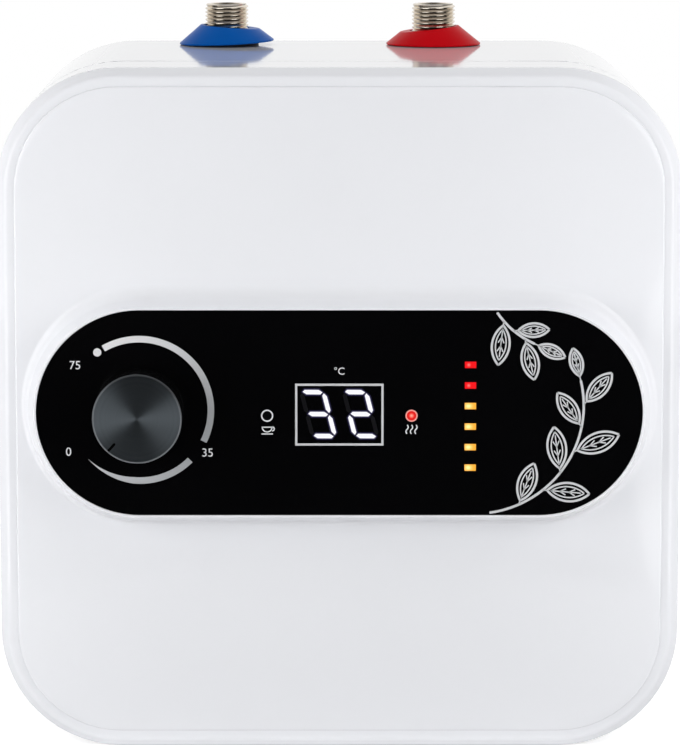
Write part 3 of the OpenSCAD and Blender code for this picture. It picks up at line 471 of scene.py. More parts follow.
# Extruded PVC sheaths: satin, each in its wire's colour, the earth's in green with yellow patches
SHEATHS = {
    f"{hue}_sheath": Finish(
        f"extruded_{hue}_pvc", colour, shade,
        roughness=0.42, spread=0.05, mottle_mm=mottle_mm, grain_mm=0.6, relief_mm=0.008,
    )
    for hue, colour, shade, mottle_mm in (
        ("brown", "#5A3520", "#4C2C1A", 12.0),
        ("blue", "#1F4E9A", "#1A4386", 12.0),
        ("green", "#4D8A2C", "#B8B02A", 5.0),
        ("grey", "#7C7E82", "#6C6E72", 12.0),
    )
}
SLOT_FINISHES = {
    **SHEATHS,
    "white_abs": WHITE_ABS,
    "nickel_plate": NICKEL,
    "blue_plastic": BLUE_PLASTIC,
    "red_plastic": RED_PLASTIC,
    "stainless_steel": STEEL,
    "spun_aluminium": STEEL,
    # Back-painted cast sheet: black with a sharp reflection
    "black_acrylic": Finish(
        "cast_black_acrylic", "#040405", "#070708",
        roughness=0.05, spread=0.01, mottle_mm=60.0, grain_mm=9.0, relief_mm=0.0006, ior=1.49,
    ),
    # Tinted cast sheet: nearly as black, so that only lit digits show
    "smoked_acrylic": Finish(
        "smoked_acrylic", "#030304", "#060607",
        roughness=0.06, spread=0.01, mottle_mm=30.0, grain_mm=9.0, relief_mm=0.0006, ior=1.49,
    ),
    # Clear guide with the dark of the case behind it
    "clear_acrylic": Finish(
        "clear_acrylic", "#08080A", "#0C0C0E",
        roughness=0.08, spread=0.02, mottle_mm=6.0, grain_mm=0.6, relief_mm=0.002, ior=1.49,
    ),
    # Moulded in an etched tool: dull black with a fine grain
    "black_abs": Finish(
        "textured_black_abs", "#0B0B0C", "#141415",
        roughness=0.4, spread=0.06, mottle_mm=12.0, grain_mm=0.6, relief_mm=0.01,
    ),
    # Solder mask over glass fibre: a glossy dark green
    "circuit_board": Finish(
        "solder_masked_board", "#12502F", "#0D4126",
        roughness=0.35, spread=0.06, mottle_mm=5.0, grain_mm=0.8, relief_mm=0.01,
    ),
    # Potting resin: an even dull grey
    "digit_resin": Finish(
        "cast_grey_resin", "#3A3B3F", "#313236",
        roughness=0.5, spread=0.05, mottle_mm=8.0, grain_mm=0.6, relief_mm=0.006,
    ),
    # Lens resin: milky and smooth
    "led_resin": Finish(
        "cast_clear_resin", "#E8E3D2", "#D9D3BF",
        roughness=0.15, spread=0.03, mottle_mm=3.0, grain_mm=0.5, relief_mm=0.004,
    ),
    # Zinc plate: pale grey with cloudy patches
    "zinc_steel": Finish(
        "zinc_plated_steel", "#A9ADB0", "#8F959A",
        roughness=0.32, spread=0.08, mottle_mm=8.0, grain_mm=0.8, relief_mm=0.006, metallic=1.0,
    ),
    # Drawn copper: warm, streaked along its run and a little tarnished
    "copper": Finish(
        "drawn_copper", "#B9714F", "#8C4D33",
        roughness=0.3, spread=0.08, mottle_mm=10.0, grain_mm=0.7, relief_mm=0.004, grain=Grain.DRAWN,
        metallic=1.0,
    ),
    # Turned brass: yellow with soft patches of tarnish
    "brass": Finish(
        "turned_brass", "#BF9A52", "#A07C3B",
        roughness=0.28, spread=0.07, mottle_mm=7.0, grain_mm=0.6, relief_mm=0.004, metallic=1.0,
    ),
    # Cast magnesium: dull grey with a sandy skin
    "magnesium": Finish(
        "cast_magnesium", "#9C9C98", "#7B7C79",
        roughness=0.5, spread=0.1, mottle_mm=9.0, grain_mm=1.4, relief_mm=0.03, metallic=1.0,
    ),
    # Fired enamel: glassy blue with a gentle orange peel
    "enamelled_steel": Finish(
        "fired_blue_enamel", "#27456B", "#1E3759",
        roughness=0.18, spread=0.06, mottle_mm=30.0, grain_mm=4.0, relief_mm=0.03,
    ),
    # Moulded rubber: soft black without a sharp highlight
    "black_rubber": Finish(
        "moulded_black_rubber", "#161616", "#202020",
        roughness=0.62, spread=0.08, mottle_mm=10.0, grain_mm=0.8, relief_mm=0.012,
    ),
    # Expanded beads: chalk white with the cells showing
    "white_foam": Finish(
        "expanded_white_foam", "#E9E9E4", "#DADAD4",
        roughness=0.85, spread=0.05, mottle_mm=25.0, grain_mm=4.0, relief_mm=0.25, grain=Grain.CELLS,
    ),
    # Pressed ceramic: cream with a low sheen
    "ceramic": Finish(
        "pressed_ceramic", "#E7E1D3", "#D8D0BF",
        roughness=0.4, spread=0.08, mottle_mm=6.0, grain_mm=0.6, relief_mm=0.01,
    ),
    # Pressed bakelite: dark brown with paler flecks
    "brown_bakelite": Finish(
        "pressed_brown_bakelite", "#2C1A12", "#3A241A",
        roughness=0.38, spread=0.08, mottle_mm=6.0, grain_mm=0.7, relief_mm=0.01,
    ),
    # Extruded polypropylene: waxy white with faint lines along the pipe
    "white_polypropylene": Finish(
        "extruded_white_polypropylene", "#E6E6E1", "#DCDCD6",
        roughness=0.45, spread=0.05, mottle_mm=20.0, grain_mm=0.7, relief_mm=0.008, grain=Grain.UPRIGHT,
    ),
    # Moulded nylon: waxy, with an even colour
    "ivory_nylon": Finish(
        "moulded_ivory_nylon", "#E4DCC4", "#D8CFB4",
        roughness=0.4, spread=0.06, mottle_mm=8.0, grain_mm=0.6, relief_mm=0.01,
    ),
    "red_nylon": Finish(
        "moulded_red_nylon", "#B3241E", "#9C1C17",
        roughness=0.4, spread=0.06, mottle_mm=5.0, grain_mm=0.5, relief_mm=0.008,
    ),
}

# Shaping

def soften(corners: Sequence[Place], steps: int = 6, guard: float = 0.0) -> list[Point]:
    """Rounds the corners of an open outline.

    Args:
        corners: Across, along and radius of each corner, where radius 0 stays sharp.
        steps: Number of facets in each round.
        guard: Distance of an added point on each side of a round, which keeps the flats flat.

    Returns:
        The points of the rounded outline.
    """
    points = [Vector(corner[:2]) for corner in corners]
    path: list[Point] = []
    for index, (here, (_, _, radius)) in enumerate(zip(points, corners)):
        if radius == 0:
            path.append(tuple(here))
            continue
        before = (points[index - 1] - here).normalized()
        after = (points[index + 1] - here).normalized()
        half = before.angle(after) / 2
        centre = here + (before + after).normalized() * radius / math.sin(half)
        first = here + before * radius / math.tan(half) - centre
        last = here + after * radius / math.tan(half) - centre
        turn = math.pi - 2 * half
        if guard:
            path.append(tuple(centre + first + before * guard))
        for step in range(steps + 1):
            share = step / steps
            arm = first * math.sin((1 - share) * turn) + last * math.sin(share * turn)
            path.append(tuple(centre + arm / math.sin(turn)))
        if guard:
            path.append(tuple(centre + last + after * guard))
    return path


def spoke(angle: float) -> Vector:
    """Gives the direction at an angle, as the front is seen."""
    return Vector((math.cos(math.radians(angle)), 0.0, math.sin(math.radians(angle))))


class Form:
    """One piece's mesh, in millimetres, while operators shape it."""

    def __init__(self) -> None:
        """Starts with an empty mesh."""
        self.bm = bmesh.new()

    def line(self, outline: Sequence[Point], foot: Vector, axis: Vector, side: Vector) -> list[Any]:
        """Draws an outline beside an axis.

        Args:
            outline: Radius and height of each point.
            foot: Point on the axis at height 0.
            axis: Direction of the axis.
            side: Direction of the radius.

        Returns:
            The outline's points and edges.
        """
        verts = [self.bm.verts.new(foot + side * r + axis * h) for r, h in outline]
        return verts + [self.bm.edges.new(pair) for pair in zip(verts, verts[1:])]

    def lathe(self, outline: Sequence[Point], foot: Vector, axis: Vector, steps: int = 96) -> None:
        """Spins an outline right round an axis.

        Args:
            outline: Radius and height of each point.
            foot: Point on the axis at height 0.
            axis: Direction of the axis.
            steps: Number of facets round the axis.
        """
        chain = self.line(outline, foot, axis, axis.orthogonal().normalized())
        bmesh.ops.spin(self.bm, geom=chain, cent=foot, axis=axis, angle=math.tau, steps=steps,
                       use_merge=True)
        self.weld()

    def weld(self) -> None:
        """Merges points that lie on each other."""
        bmesh.ops.remove_doubles(self.bm, verts=self.bm.verts, dist=WELD)

    def settle(self) -> None:
        """Merges points that lie on each other and turns all faces outwards."""
        self.weld()
        bmesh.ops.recalc_face_normals(self.bm, faces=self.bm.faces)

    def band(self, centre: Vector, radius: float, width: float, start: float, stop: float) -> Verts:
        """Draws a flat band along an arc.

        Args:
            centre: Centre of the arc.
            radius: Radius to the middle of the band.
            width: Width of the band.
            start: Angle where it starts.
            stop: Angle where it ends.

        Returns:
            The band's points.
        """
        known = set(self.bm.verts)
        way = spoke(start)
        ends = [self.bm.verts.new(centre + way * (radius + s * width / 2)) for s in (-1, 1)]
        edge = self.bm.edges.new(ends)
        bmesh.ops.spin(self.bm, geom=[*ends, edge], cent=centre, axis=OUT,
                       angle=math.radians(stop - start),
                       steps=max(2, math.ceil(abs(stop - start) / ARC_STEP)),
                       use_merge=abs(stop - start) == 360)
        return [vert for vert in self.bm.verts if vert not in known]

    def stroke(self, start: Vector, stop: Vector, width: float, bow: float = STRAIGHT) -> None:
        """Draws a flat band between two points.

        Args:
            start: Where the band starts.
            stop: Where it ends.
            width: Width of the band.
            bow: How far it bows to the left of its way, not 0.
        """
        half = (stop - start).length / 2
        radius = (half * half + bow * bow) / (2 * abs(bow))
        left = OUT.cross(stop - start).normalized()
        centre = (start + stop) / 2 + left * (bow - math.copysign(radius, bow))
        way = start - centre
        begin = math.degrees(math.atan2(way.z, way.x))
        span = math.degrees(2 * math.asin(min(1.0, half / radius)))
        self.band(centre, radius, width, begin, begin - math.copysign(span, bow))

    def disc(self, centre: Vector, radius: float, segments: int = 32) -> Verts:
        """Draws a flat round face and gives its points."""
        return bmesh.ops.create_circle(self.bm, cap_ends=True, radius=radius, segments=segments,
                                       matrix=Matrix.Translation(centre) @ STANDING)["verts"]

    def plate(self, centre: Vector, width: float, height: float) -> None:
        """Draws a flat rectangle.

        Args:
            centre: Its middle.
            width: Its size across.
            height: Its size up.
        """
        size = Matrix.Diagonal((width, height, 1.0, 1.0))
        bmesh.ops.create_grid(self.bm, x_segments=1, y_segments=1, size=0.5,
                              matrix=Matrix.Translation(centre) @ STANDING @ size)

    def thicken(self, depth: float) -> None:
        """Turns flat faces to the front and gives them a thickness towards the back.

        Args:
            depth: The thickness.
        """
        for face in self.bm.faces:
            face.normal_update()
            if face.normal.dot(OUT) < 0:
                face.normal_flip()
        bmesh.ops.solidify(self.bm, geom=self.bm.faces[:], thickness=depth)

    def grow(self, edges: Edges, foot: Vector, radius: float, height: float) -> Edges:
        """Extrudes a ring round an upright axis to another radius and height.

        Args:
            edges: The ring's edges.
            foot: Point on the axis at height 0.
            radius: New radius.
            height: New height.

        Returns:
            The new ring's edges.
        """
        verts, ring = self.extrude(edges)
        for vert in verts:
            side = (vert.co - foot) * IN_PLAN
            vert.co = foot + side.normalized() * radius + UP * height
        return ring

    def extrude(self, edges: Edges) -> tuple[Verts, Edges]:
        """Extrudes a ring in place.

        Args:
            edges: The ring's edges.

        Returns:
            The new ring's points and edges.
        """
        grown = bmesh.ops.extrude_edge_only(self.bm, edges=edges)["geom"]
        verts = [item for item in grown if isinstance(item, bmesh.types.BMVert)]
        fresh = set(verts)
        ring = [item for item in grown
                if isinstance(item, bmesh.types.BMEdge) and fresh.issuperset(item.verts)]
        return verts, ring

    def rims(self, height: float | None = None) -> Edges:
        """Gives the open edges, all of them or those at one height."""
        return [edge for edge in self.bm.edges if edge.is_boundary and (
            height is None or all(abs(vert.co.z - height) < SAME_HEIGHT for vert in edge.verts))]

    def cut(self, point: Vector, normal: Vector) -> None:
        """Cuts off what lies beyond a plane.

        Args:
            point: Point on the plane.
            normal: Direction of the side that goes.
        """
        everything = [*self.bm.verts, *self.bm.edges, *self.bm.faces]
        bmesh.ops.bisect_plane(self.bm, geom=everything, plane_co=point, plane_no=normal, dist=WELD,
                               clear_outer=True)

    def place(self, name: str, materials: Iterable[bpy.types.Material]) -> bpy.types.Object:
        """Puts the mesh in the scene.

        Args:
            name: Name of the object.
            materials: Its materials, by number.

        Returns:
            The object.
        """
        bmesh.ops.scale(self.bm, vec=(MM, MM, MM), verts=self.bm.verts)
        mesh = bpy.data.meshes.new(name)
        self.bm.to_mesh(mesh)
        self.bm.free()
        for material in materials:
            mesh.materials.append(material)
        piece = bpy.data.objects.new(name, mesh)
        bpy.context.scene.collection.objects.link(piece)
        return piece

    def make(
        self,
        name: str,
        finish: Finish,
        body: Body,
        slot: str | None = None,
        replaces: Sequence[str] = (),
        trims: Sequence[Finish] = (),
    ) -> None:
        """Turns the mesh into a finished piece of the object.

        Args:
            name: Name of the piece.
            finish: Its finish.
            body: Body that it rides on.
            slot: The record's slot for the piece; not used.
            replaces: Frame nodes that it stands for.
            trims: Finishes of the faces with material numbers 1 and up.
        """
        self.settle()
        piece = self.place(name, [coat.material() for coat in (finish, *trims)])
        piece.data.shade_smooth()
        piece.data.set_sharp_from_angle(angle=SHARP)
        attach(piece, body.value)
        if replaces:
            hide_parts(*replaces)
        log.info("%s: %d faces, rides on %s", name, len(piece.data.polygons), body.value)


# Front cover

@dataclass(frozen=True)
class Station:
    """One point's place round the cover.

    Attributes:
        core: Place on the straight middle, from -1 to 1, across and up.
        heading: Direction out of the case's outline.
        bend: Direction out of the panel's outline.
    """

    core: Point
    heading: float
    bend: float


@dataclass(frozen=True)
class Ring:
    """One loop of the cover's skin.

    Attributes:
        inset: Distance inside the case's outline.
        outset: Distance outside the panel's outline.
        morph: 0 on the case's outline and 1 on the panel's.
        y: Depth of the loop.
        crown: Share of the crowned face's own depth that is added.
        stop: Point of the plateau's flank that gives the outset and the depth instead.
    """

    inset: float = 0.0
    outset: float = 0.0
    morph: float = 0.0
    y: float = 0.0
    crown: float = 0.0
    stop: int | None = None


@dataclass
class FrontCover:
    """Moulded cover: rounded rim, crowned face, and a raised plateau that holds the panel."""

    # Rim
    corner_r: float = 55.0
    wall: float = 2.6
    bevel_in: float = 3.9
    bevel_back: float = 4.9
    bevel_r: float = 2.6
    edge_r: float = 0.8
    face_inset: float = 8.2
    step: float = 0.8
    bead: float = 0.5
    bead_angles: tuple[float, ...] = (60.0, 30.0, 0.0)
    bead_ease: float = 0.3
    # Face and plateau
    crown: float = 5.0
    rise: float = 11.0
    flank: float = 4.0
    foot_low: float = 3.0
    foot_high: float = 7.0
    foot_share: float = 0.75
    foot_bias: int = 3
    lip: float = 1.3
    lip_r: float = 0.5
    fit: float = 0.2
    # Seam and tongue
    seam: float = 0.6
    skirt_r: float = 0.4
    guard: float = 0.25
    tongue_t: float = 1.6
    tongue_r: float = 0.3
    tongue_l: float = 6.0
    # Facets
    arc_cuts: int = 14
    side_cuts: int = 16
    top_cuts: int = 28
    face_rings: int = 24
    inner_rings: int = 6
    shaft_cuts: int = 32
    # Openings
    window_margin: float = 1.6
    shaft_hole: float = 10.8

    def __post_init__(self) -> None:
        """Takes the places of the cover, the panel and the shell behind from the frame."""
        low, high = box("front_cover")
        self.half = Vector((high.x, (high.z - low.z) / 2))
        self.mid_z = (low.z + high.z) / 2
        self.plateau_y = low.y
        self.apex_y = low.y + self.rise
        self.band_y = self.apex_y + self.crown + self.step
        low, high = box("control_panel")
        self.panel_r = (high.z - low.z) / 2
        self.panel_core = high.x - self.panel_r
        self.panel_z = (low.z + high.z) / 2
        self.floor_y = high.y
        shell_y = box("rear_shell")[0].y
        self.skirt_end = shell_y - self.seam
        self.tongue_end = shell_y + self.tongue_l
        self.tongue_root = self.skirt_end - self.tongue_l

    def stations(self) -> list[Station]:
        """Lays out the points of a loop, from the lower right corner round to the left.

        Returns:
            The stations, in order.
        """
        flank = 2 * self.arc_cuts + self.side_cuts
        row: list[Station] = []
        for turn, side in ((0, 1), (180, -1)):
            for k in range(flank + 1):
                along = min(max(k - self.arc_cuts, 0), self.side_cuts)
                swing = 90 * (k - along) / self.arc_cuts - 90
                climb = 2 * along / self.side_cuts - 1
                bend = 180 * k / flank - 90
                row.append(Station((side, side * climb), swing + turn, bend + turn))
            for k in range(1, self.top_cuts):
                share = 1 - 2 * k / self.top_cuts
                row.append(Station((side * share, side), 90 + turn, 90 + turn))
        return row

    def face_y(self, x: float, z: float) -> float:
        """Works out where the crowned face lies.

        Args:
            x: Place across.
            z: Height.

        Returns:
            The face's depth there.
        """
        u = min(1.0, abs(x) / (self.half.x - self.face_inset))
        v = min(1.0, abs(z - self.mid_z) / (self.half.y - self.face_inset))
        return self.apex_y + self.crown * (1 - (1 - u * u) * (1 - v * v))

    def flank_at(self, bend: float) -> list[Point]:
        """Outlines the plateau's flank, whose foot is tight below the panel and wider above it.

        Args:
            bend: Direction out of the panel's outline.

        Returns:
            Distance outside the panel and height above the face, from the lip down.
        """
        share = ((1 + math.sin(math.radians(bend))) / 2) ** self.foot_bias
        radius = self.foot_low + (self.foot_high - self.foot_low) * share
        toe = self.lip + self.flank
        return soften([(self.fit, self.rise, 0), (self.lip, self.rise, self.lip_r),
                       (toe, 0, radius), (toe + self.foot_share * radius, 0, 0)])

    def place(self, ring: Ring, station: Station) -> Vector:
        """Works out where a loop passes a station.

        Args:
            ring: The loop.
            station: The station.

        Returns:
            The point.
        """
        heading, bend = math.radians(station.heading), math.radians(station.bend)
        core = self.half - Vector((self.corner_r, self.corner_r))
        reach = self.corner_r - ring.inset
        case = Vector((station.core[0] * core.x + math.cos(heading) * reach,
                       self.mid_z + station.core[1] * core.y + math.sin(heading) * reach))
        outset, y, crown = ring.outset, ring.y, ring.crown
        if ring.stop is not None:
            outset, height = self.flank_at(station.bend)[ring.stop]
            crown = 1 - height / self.rise
            y = self.plateau_y * (1 - crown)
        reach = self.panel_r + outset
        panel = Vector((station.core[0] * self.panel_core + math.cos(bend) * reach,
                        self.panel_z + math.sin(bend) * reach))
        x, z = case.lerp(panel, ring.morph)
        return Vector((x, y + crown * self.face_y(x, z), z))

    def rings(self) -> list[Ring]:
        """Lists the loops from the panel's pocket out to the seam and back inside.

        Returns:
            The loops, in order.
        """
        edge = self.face_inset + self.bead
        skin = [Ring(outset=self.fit, morph=1.0, y=self.floor_y)]
        for stop in range(len(self.flank_at(0))):
            skin.append(Ring(morph=1.0, stop=stop))
        for k in range(1, self.face_rings + 1):
            skin.append(Ring(edge, morph=1 - k / self.face_rings, stop=-1))
        for angle in map(math.radians, self.bead_angles):
            share = math.sin(angle)
            inset = self.face_inset + self.bead * (1 - math.cos(angle))
            skin.append(Ring(inset, y=self.band_y * (1 - share), crown=share))
        tongue_out = self.wall + self.fit
        tongue_in = tongue_out + self.tongue_t
        shoulder = self.band_y + self.bevel_back
        for inset, y in soften([
            (self.face_inset - self.bead_ease, self.band_y, 0),
            (self.bevel_in, self.band_y, self.bevel_r), (0, shoulder, self.edge_r),
            (0, self.skirt_end, self.skirt_r), (tongue_out, self.skirt_end, 0),
            (tongue_out, self.tongue_end, self.tongue_r), (tongue_in, self.tongue_end, self.tongue_r),
            (tongue_in, self.tongue_root, 0), (self.wall, self.tongue_root, 0),
            (self.wall, shoulder + self.wall / 2, 0),
            (self.face_inset - self.wall, self.band_y + self.wall, 0),
            (self.face_inset, self.band_y + self.wall, 0),
        ], guard=self.guard):
            skin.append(Ring(inset, y=y))
        inner_foot = self.lip + self.flank
        for k in range(self.inner_rings + 1):
            skin.append(Ring(edge, inner_foot, k / self.inner_rings, self.wall, 1.0))
        skin.append(Ring(outset=self.lip - self.fit, morph=1.0, y=self.floor_y + self.wall))
        return skin

    def openings(self) -> list[tuple[Vector, Vector, int]]:
        """Lists the openings in the pocket's floor, which are the lamps' window and the shaft's hole.

        Returns:
            Lowest corner, highest corner and number of sides of each.
        """
        outward = Vector((1.0, 0.0, 1.0))
        low = Vector((box("holding_lamp_guide")[0].x, 0.0, box("level_guides_amber")[0].z))
        high = box("level_guides_red")[1]
        margin = outward * self.window_margin
        shaft = middle("thermostat_shaft")
        radius = outward * self.shaft_hole / 2
        return [(low - margin, high + margin, 4), (shaft - radius, shaft + radius, self.shaft_cuts)]

    def floor(self, form: Form, rim: Edges, y: float) -> list[Edges]:
        """Closes a side of the pocket's floor round its openings.

        Args:
            form: The cover's mesh.
            rim: Edges round the floor.
            y: Depth of the floor.

        Returns:
            The edges of each opening.
        """
        holes = []
        for low, high, cuts in self.openings():
            centre, size = (low + high) / 2, high - low
            centre.y = y
            turn = STANDING @ Matrix.Rotation(math.pi / cuts, 4, "Z")
            stretch = Matrix.Diagonal((size.x, 1.0, size.z, 1.0))
            verts = bmesh.ops.create_circle(
                form.bm, radius=0.5 / math.cos(math.pi / cuts), segments=cuts,
                matrix=Matrix.Translation(centre) @ stretch @ turn,
            )["verts"]
            holes.append(list(dict.fromkeys(edge for vert in verts for edge in vert.link_edges)))
        bmesh.ops.triangle_fill(form.bm, use_beauty=True, normal=OUT, edges=sum(holes, list(rim)))
        return holes

    def build(self) -> None:
        """Draws the skin loop by loop, closes it at the pocket's floor and dresses it."""
        form = Form()
        stations = self.stations()
        mark = form.bm.verts.layers.int.new("station")
        verts = bmesh.ops.create_circle(form.bm, radius=1.0, segments=len(stations))["verts"]
        for index, vert in enumerate(verts):
            vert[mark] = index
        edges = form.bm.edges[:]
        rings = self.rings()
        for vert in verts:
            vert.co = self.place(rings[0], stations[vert[mark]])
        front = self.floor(form, edges, rings[0].y)
        for ring in rings[1:]:
            verts, edges = form.extrude(edges)
            for vert in verts:
                vert.co = self.place(ring, stations[vert[mark]])
        back = self.floor(form, edges, rings[-1].y)
        for near, far in zip(front, back):
            bmesh.ops.bridge_loops(form.bm, edges=near + far)
        form.make("moulded_cover", WHITE_ABS, Body.CASING, "white_abs", ["front_cover"])


# Control panel

class Bar(Enum):
    """Bars of a digit, as column, row and whether the bar stands upright."""

    TOP = (0, 2, False)
    UPPER_RIGHT = (1, 1, True)
    LOWER_RIGHT = (1, -1, True)
    BOTTOM = (0, -2, False)
    LOWER_LEFT = (-1, -1, True)
    UPPER_LEFT = (-1, 1, True)
    MIDDLE = (0, 0, False)


UNLIT_BARS = {
    2: {Bar.UPPER_LEFT, Bar.LOWER_RIGHT},
    3: {Bar.UPPER_LEFT, Bar.LOWER_LEFT},
}


@dataclass(frozen=True)
class Label:
    """A plain number or unit.

    Attributes:
        name: Name of the piece.
        words: What it says.
        place: Its middle, from the panel's middle.
        height: Size of the type.
    """

    name: str
    words: str
    place: Point
    height: float = 5.4


@dataclass(frozen=True)
class Sprig:
    """A leafy stem that follows an arc.

    Attributes:
        centre: Centre of the arc, from the panel's middle.
        radius: Radius of the arc.
        start: Angle where the stem starts.
        stop: Angle where it ends.
        leaves: Angle on the arc, lean off the stem and length of each leaf.
    """

    centre: Point
    radius: float
    start: float
    stop: float
    leaves: tuple[Place, ...]


@dataclass
class PanelPrint:
    """Everything printed on the black panel."""

    ink: float = 0.04
    # Dial's scale
    arc_r: float = 32.2
    arc_w: float = 2.95
    arc_lift: float = 0.4
    upper_arc: Point = (-26.4, 119.8)
    lower_arc: Point = (224.0, 315.0)
    taper: float = 0.45
    thin_end: float = 0.02
    dot_r: float = 1.85
    dot_angle: float = 125.6
    # Where the light painted on the scale is brightest and dimmest, from the dial's middle
    bright: Point = (-12.0, 32.0)
    dull: Point = (30.0, -16.0)
    # Numbers and unit
    labels: tuple[Label, ...] = (
        Label("dial_number_top", "75", (-118.8, 21.6)),
        Label("dial_number_off", "0", (-122.0, -17.8)),
        Label("dial_number_low", "35", (-59.4, -18.2)),
        Label("display_unit", "°C", (0.0, 18.9), 4.6),
    )
    # Display's frame and lamps' rings
    frame_w: float = 39.8
    frame_h: float = 28.2
    frame_rise: float = 0.5
    frame_line: float = 1.4
    ring_r: float = 2.45
    ring_w: float = 0.6
    # Lamps' signs
    sign_line: float = 0.5
    wave_low: float = -9.4
    wave_pitch: float = 2.0
    wave_h: float = 2.0
    wave_bow: float = 0.5
    cup_top: float = -6.4
    cup_r: float = 2.2
    brim: float = 2.45
    handle_r: float = 0.9
    handle_place: Point = (2.3, -0.8)
    handle_arc: Point = (-100.0, 80.0)
    saucer: float = 2.6
    saucer_drop: float = 3.1
    # Sprigs
    stem_w: float = 1.1
    vein_w: float = 0.55
    vein_bow: float = 0.02
    petiole: float = 2.0
    # Start and stop of each line of a leaf and its bow, as shares of the leaf's length, and its width
    leaf_lines: tuple[tuple[float, float, float, float], ...] = (
        (0.0, 1.0, 0.22, 1.0), (0.0, 1.0, -0.22, 1.0),
        (0.1, 0.88, 0.13, 0.6), (0.1, 0.88, -0.13, 0.6),
    )
    midrib: Point = (0.08, 0.8)
    vein_roots: tuple[float, ...] = (0.3, 0.52)
    vein_reach: Point = (0.14, 0.075)
    sprigs: tuple[Sprig, ...] = (
        Sprig((61.0, 3.0), 49.0, -82.0, 14.0, (
            (-66.0, 46.0, 20.0), (-51.0, -44.0, 21.0), (-38.0, 46.0, 21.0), (-25.0, -44.0, 22.0),
            (-11.0, 46.0, 19.0), (1.0, -42.0, 19.0), (14.0, 0.0, 15.0),
        )),
        Sprig((104.0, 68.0), 40.0, 214.0, 246.0, (
            (221.0, -48.0, 20.0), (230.0, 42.0, 16.0), (239.0, -46.0, 19.0), (246.0, 0.0, 15.0),
        )),
    )

    def __post_init__(self) -> None:
        """Takes the places of the panel, the dial, the window and the lamps from the frame."""
        face_y = box("control_panel")[0].y
        nodes = ("control_panel", "knob_shell", "display_window", "heating_lamp_guide")
        self.middle, self.dial, self.window, self.lamp = (
            Vector((spot.x, face_y, spot.z)) for spot in map(middle, nodes)
        )

    def at(self, x: float, z: float) -> Vector:
        """Gives the ink's face at a place measured from the panel's middle."""
        return self.middle + Vector((x, -self.ink, z))

    def build(self) -> None:
        """Prints the scale, its numbers, the frames and signs and the sprigs."""
        self.print_scale()
        for label in self.labels:
            self.print_label(label)
        self.print_frames()
        self.print_signs()
        self.print_sprigs()

    def press(self, form: Form, name: str, finish: Finish) -> None:
        """Gives printed faces the ink's thickness and dresses them."""
        form.thicken(self.ink)
        form.make(name, finish, Body.CASING)

    def print_scale(self) -> None:
        """Prints the dial's two arcs, the lower one tapered, and the dot at its top end."""
        form = Form()
        centre = self.dial + OUT * self.ink + UP * self.arc_lift
        form.band(centre, self.arc_r, self.arc_w, *self.upper_arc)
        start, stop = self.lower_arc
        for vert in form.band(centre, self.arc_r, self.arc_w, start, stop):
            way = vert.co - centre
            angle = math.degrees(math.atan2(way.z, way.x)) % 360
            share = min(1.0, max(self.thin_end, (angle - start) / (stop - start) / self.taper))
            vert.co = centre + way.normalized() * (self.arc_r + (way.length - self.arc_r) * share)
        form.disc(centre + spoke(self.dot_angle) * self.arc_r, self.dot_r)
        bright, dull = ((self.dial.x + x, self.dial.z + z) for x, z in (self.bright, self.dull))
        # Silver ink with a raking light painted on: its colour dims from the scale's top to its lower end
        ink = InkWithPaintedLight(
            "screen_printed_silver_ink_with_painted_light", "#DCDCDE", "#A6A9AC",
            roughness=0.42, spread=0.05, mottle_mm=9.0, grain_mm=0.5, relief_mm=0.004, bright=bright,
            dull=dull,
        )
        self.press(form, "dial_scale", ink)

    def print_label(self, label: Label) -> None:
        """Prints a number or a unit.

        Args:
            label: What to print, and where.
        """
        curve = bpy.data.curves.new(label.name, "FONT")
        curve.body = label.words
        curve.size = label.height
        curve.align_x = "CENTER"
        curve.align_y = "CENTER"
        curve.extrude = self.ink / 2
        maker = bpy.data.objects.new(label.name + "_curve", curve)
        mesh = bpy.data.meshes.new_from_object(maker)
        bpy.data.objects.remove(maker)
        bpy.data.curves.remove(curve)
        form = Form()
        form.bm.from_mesh(mesh)
        bpy.data.meshes.remove(mesh)
        stand = Matrix.Translation(self.at(*label.place) + OUT * -self.ink / 2)
        bmesh.ops.transform(form.bm, matrix=stand @ STANDING, verts=form.bm.verts)
        form.make(label.name, WHITE_INK, Body.CASING)

    def print_frames(self) -> None:
        """Prints the frame round the display and the rings round the status lamps."""
        form = Form()
        form.plate(self.window + OUT * self.ink + UP * self.frame_rise, self.frame_w, self.frame_h)
        inner = form.bm.faces[:]
        bmesh.ops.inset_region(form.bm, faces=inner, thickness=self.frame_line, use_boundary=True)
        bmesh.ops.delete(form.bm, geom=inner, context="FACES")
        self.press(form, "display_frame", SILVER_INK)
        for side, name, ink in ((-1, "holding_lamp_ring", WHITE_INK), (1, "heating_lamp_ring", LIT_INK)):
            form = Form()
            centre = Vector((side * self.lamp.x, self.lamp.y - self.ink, self.window.z))
            form.band(centre, self.ring_r, self.ring_w, 0, 360)
            self.press(form, name, ink)

    def print_signs(self) -> None:
        """Prints three rising waves under the heating lamp and a cup under the holding lamp."""
        form = Form()
        for k in (-1, 0, 1):
            foot = self.at(self.lamp.x + self.wave_pitch * k, self.wave_low)
            for bow in (self.wave_bow, -self.wave_bow):
                top = foot + UP * self.wave_h
                form.stroke(foot, top, self.sign_line, bow)
                foot = top
        cup = self.at(-self.lamp.x, self.cup_top)
        form.band(cup, self.cup_r, self.sign_line, 180, 360)
        x, z = self.handle_place
        for half, drop in ((self.brim, 0.0), (self.saucer, self.saucer_drop)):
            ends = [cup + Vector((side * half, 0.0, -drop)) for side in (-1, 1)]
            form.stroke(*ends, self.sign_line)
        form.band(cup + Vector((x, 0.0, z)), self.handle_r, self.sign_line, *self.handle_arc)
        self.press(form, "lamp_signs", WHITE_INK)

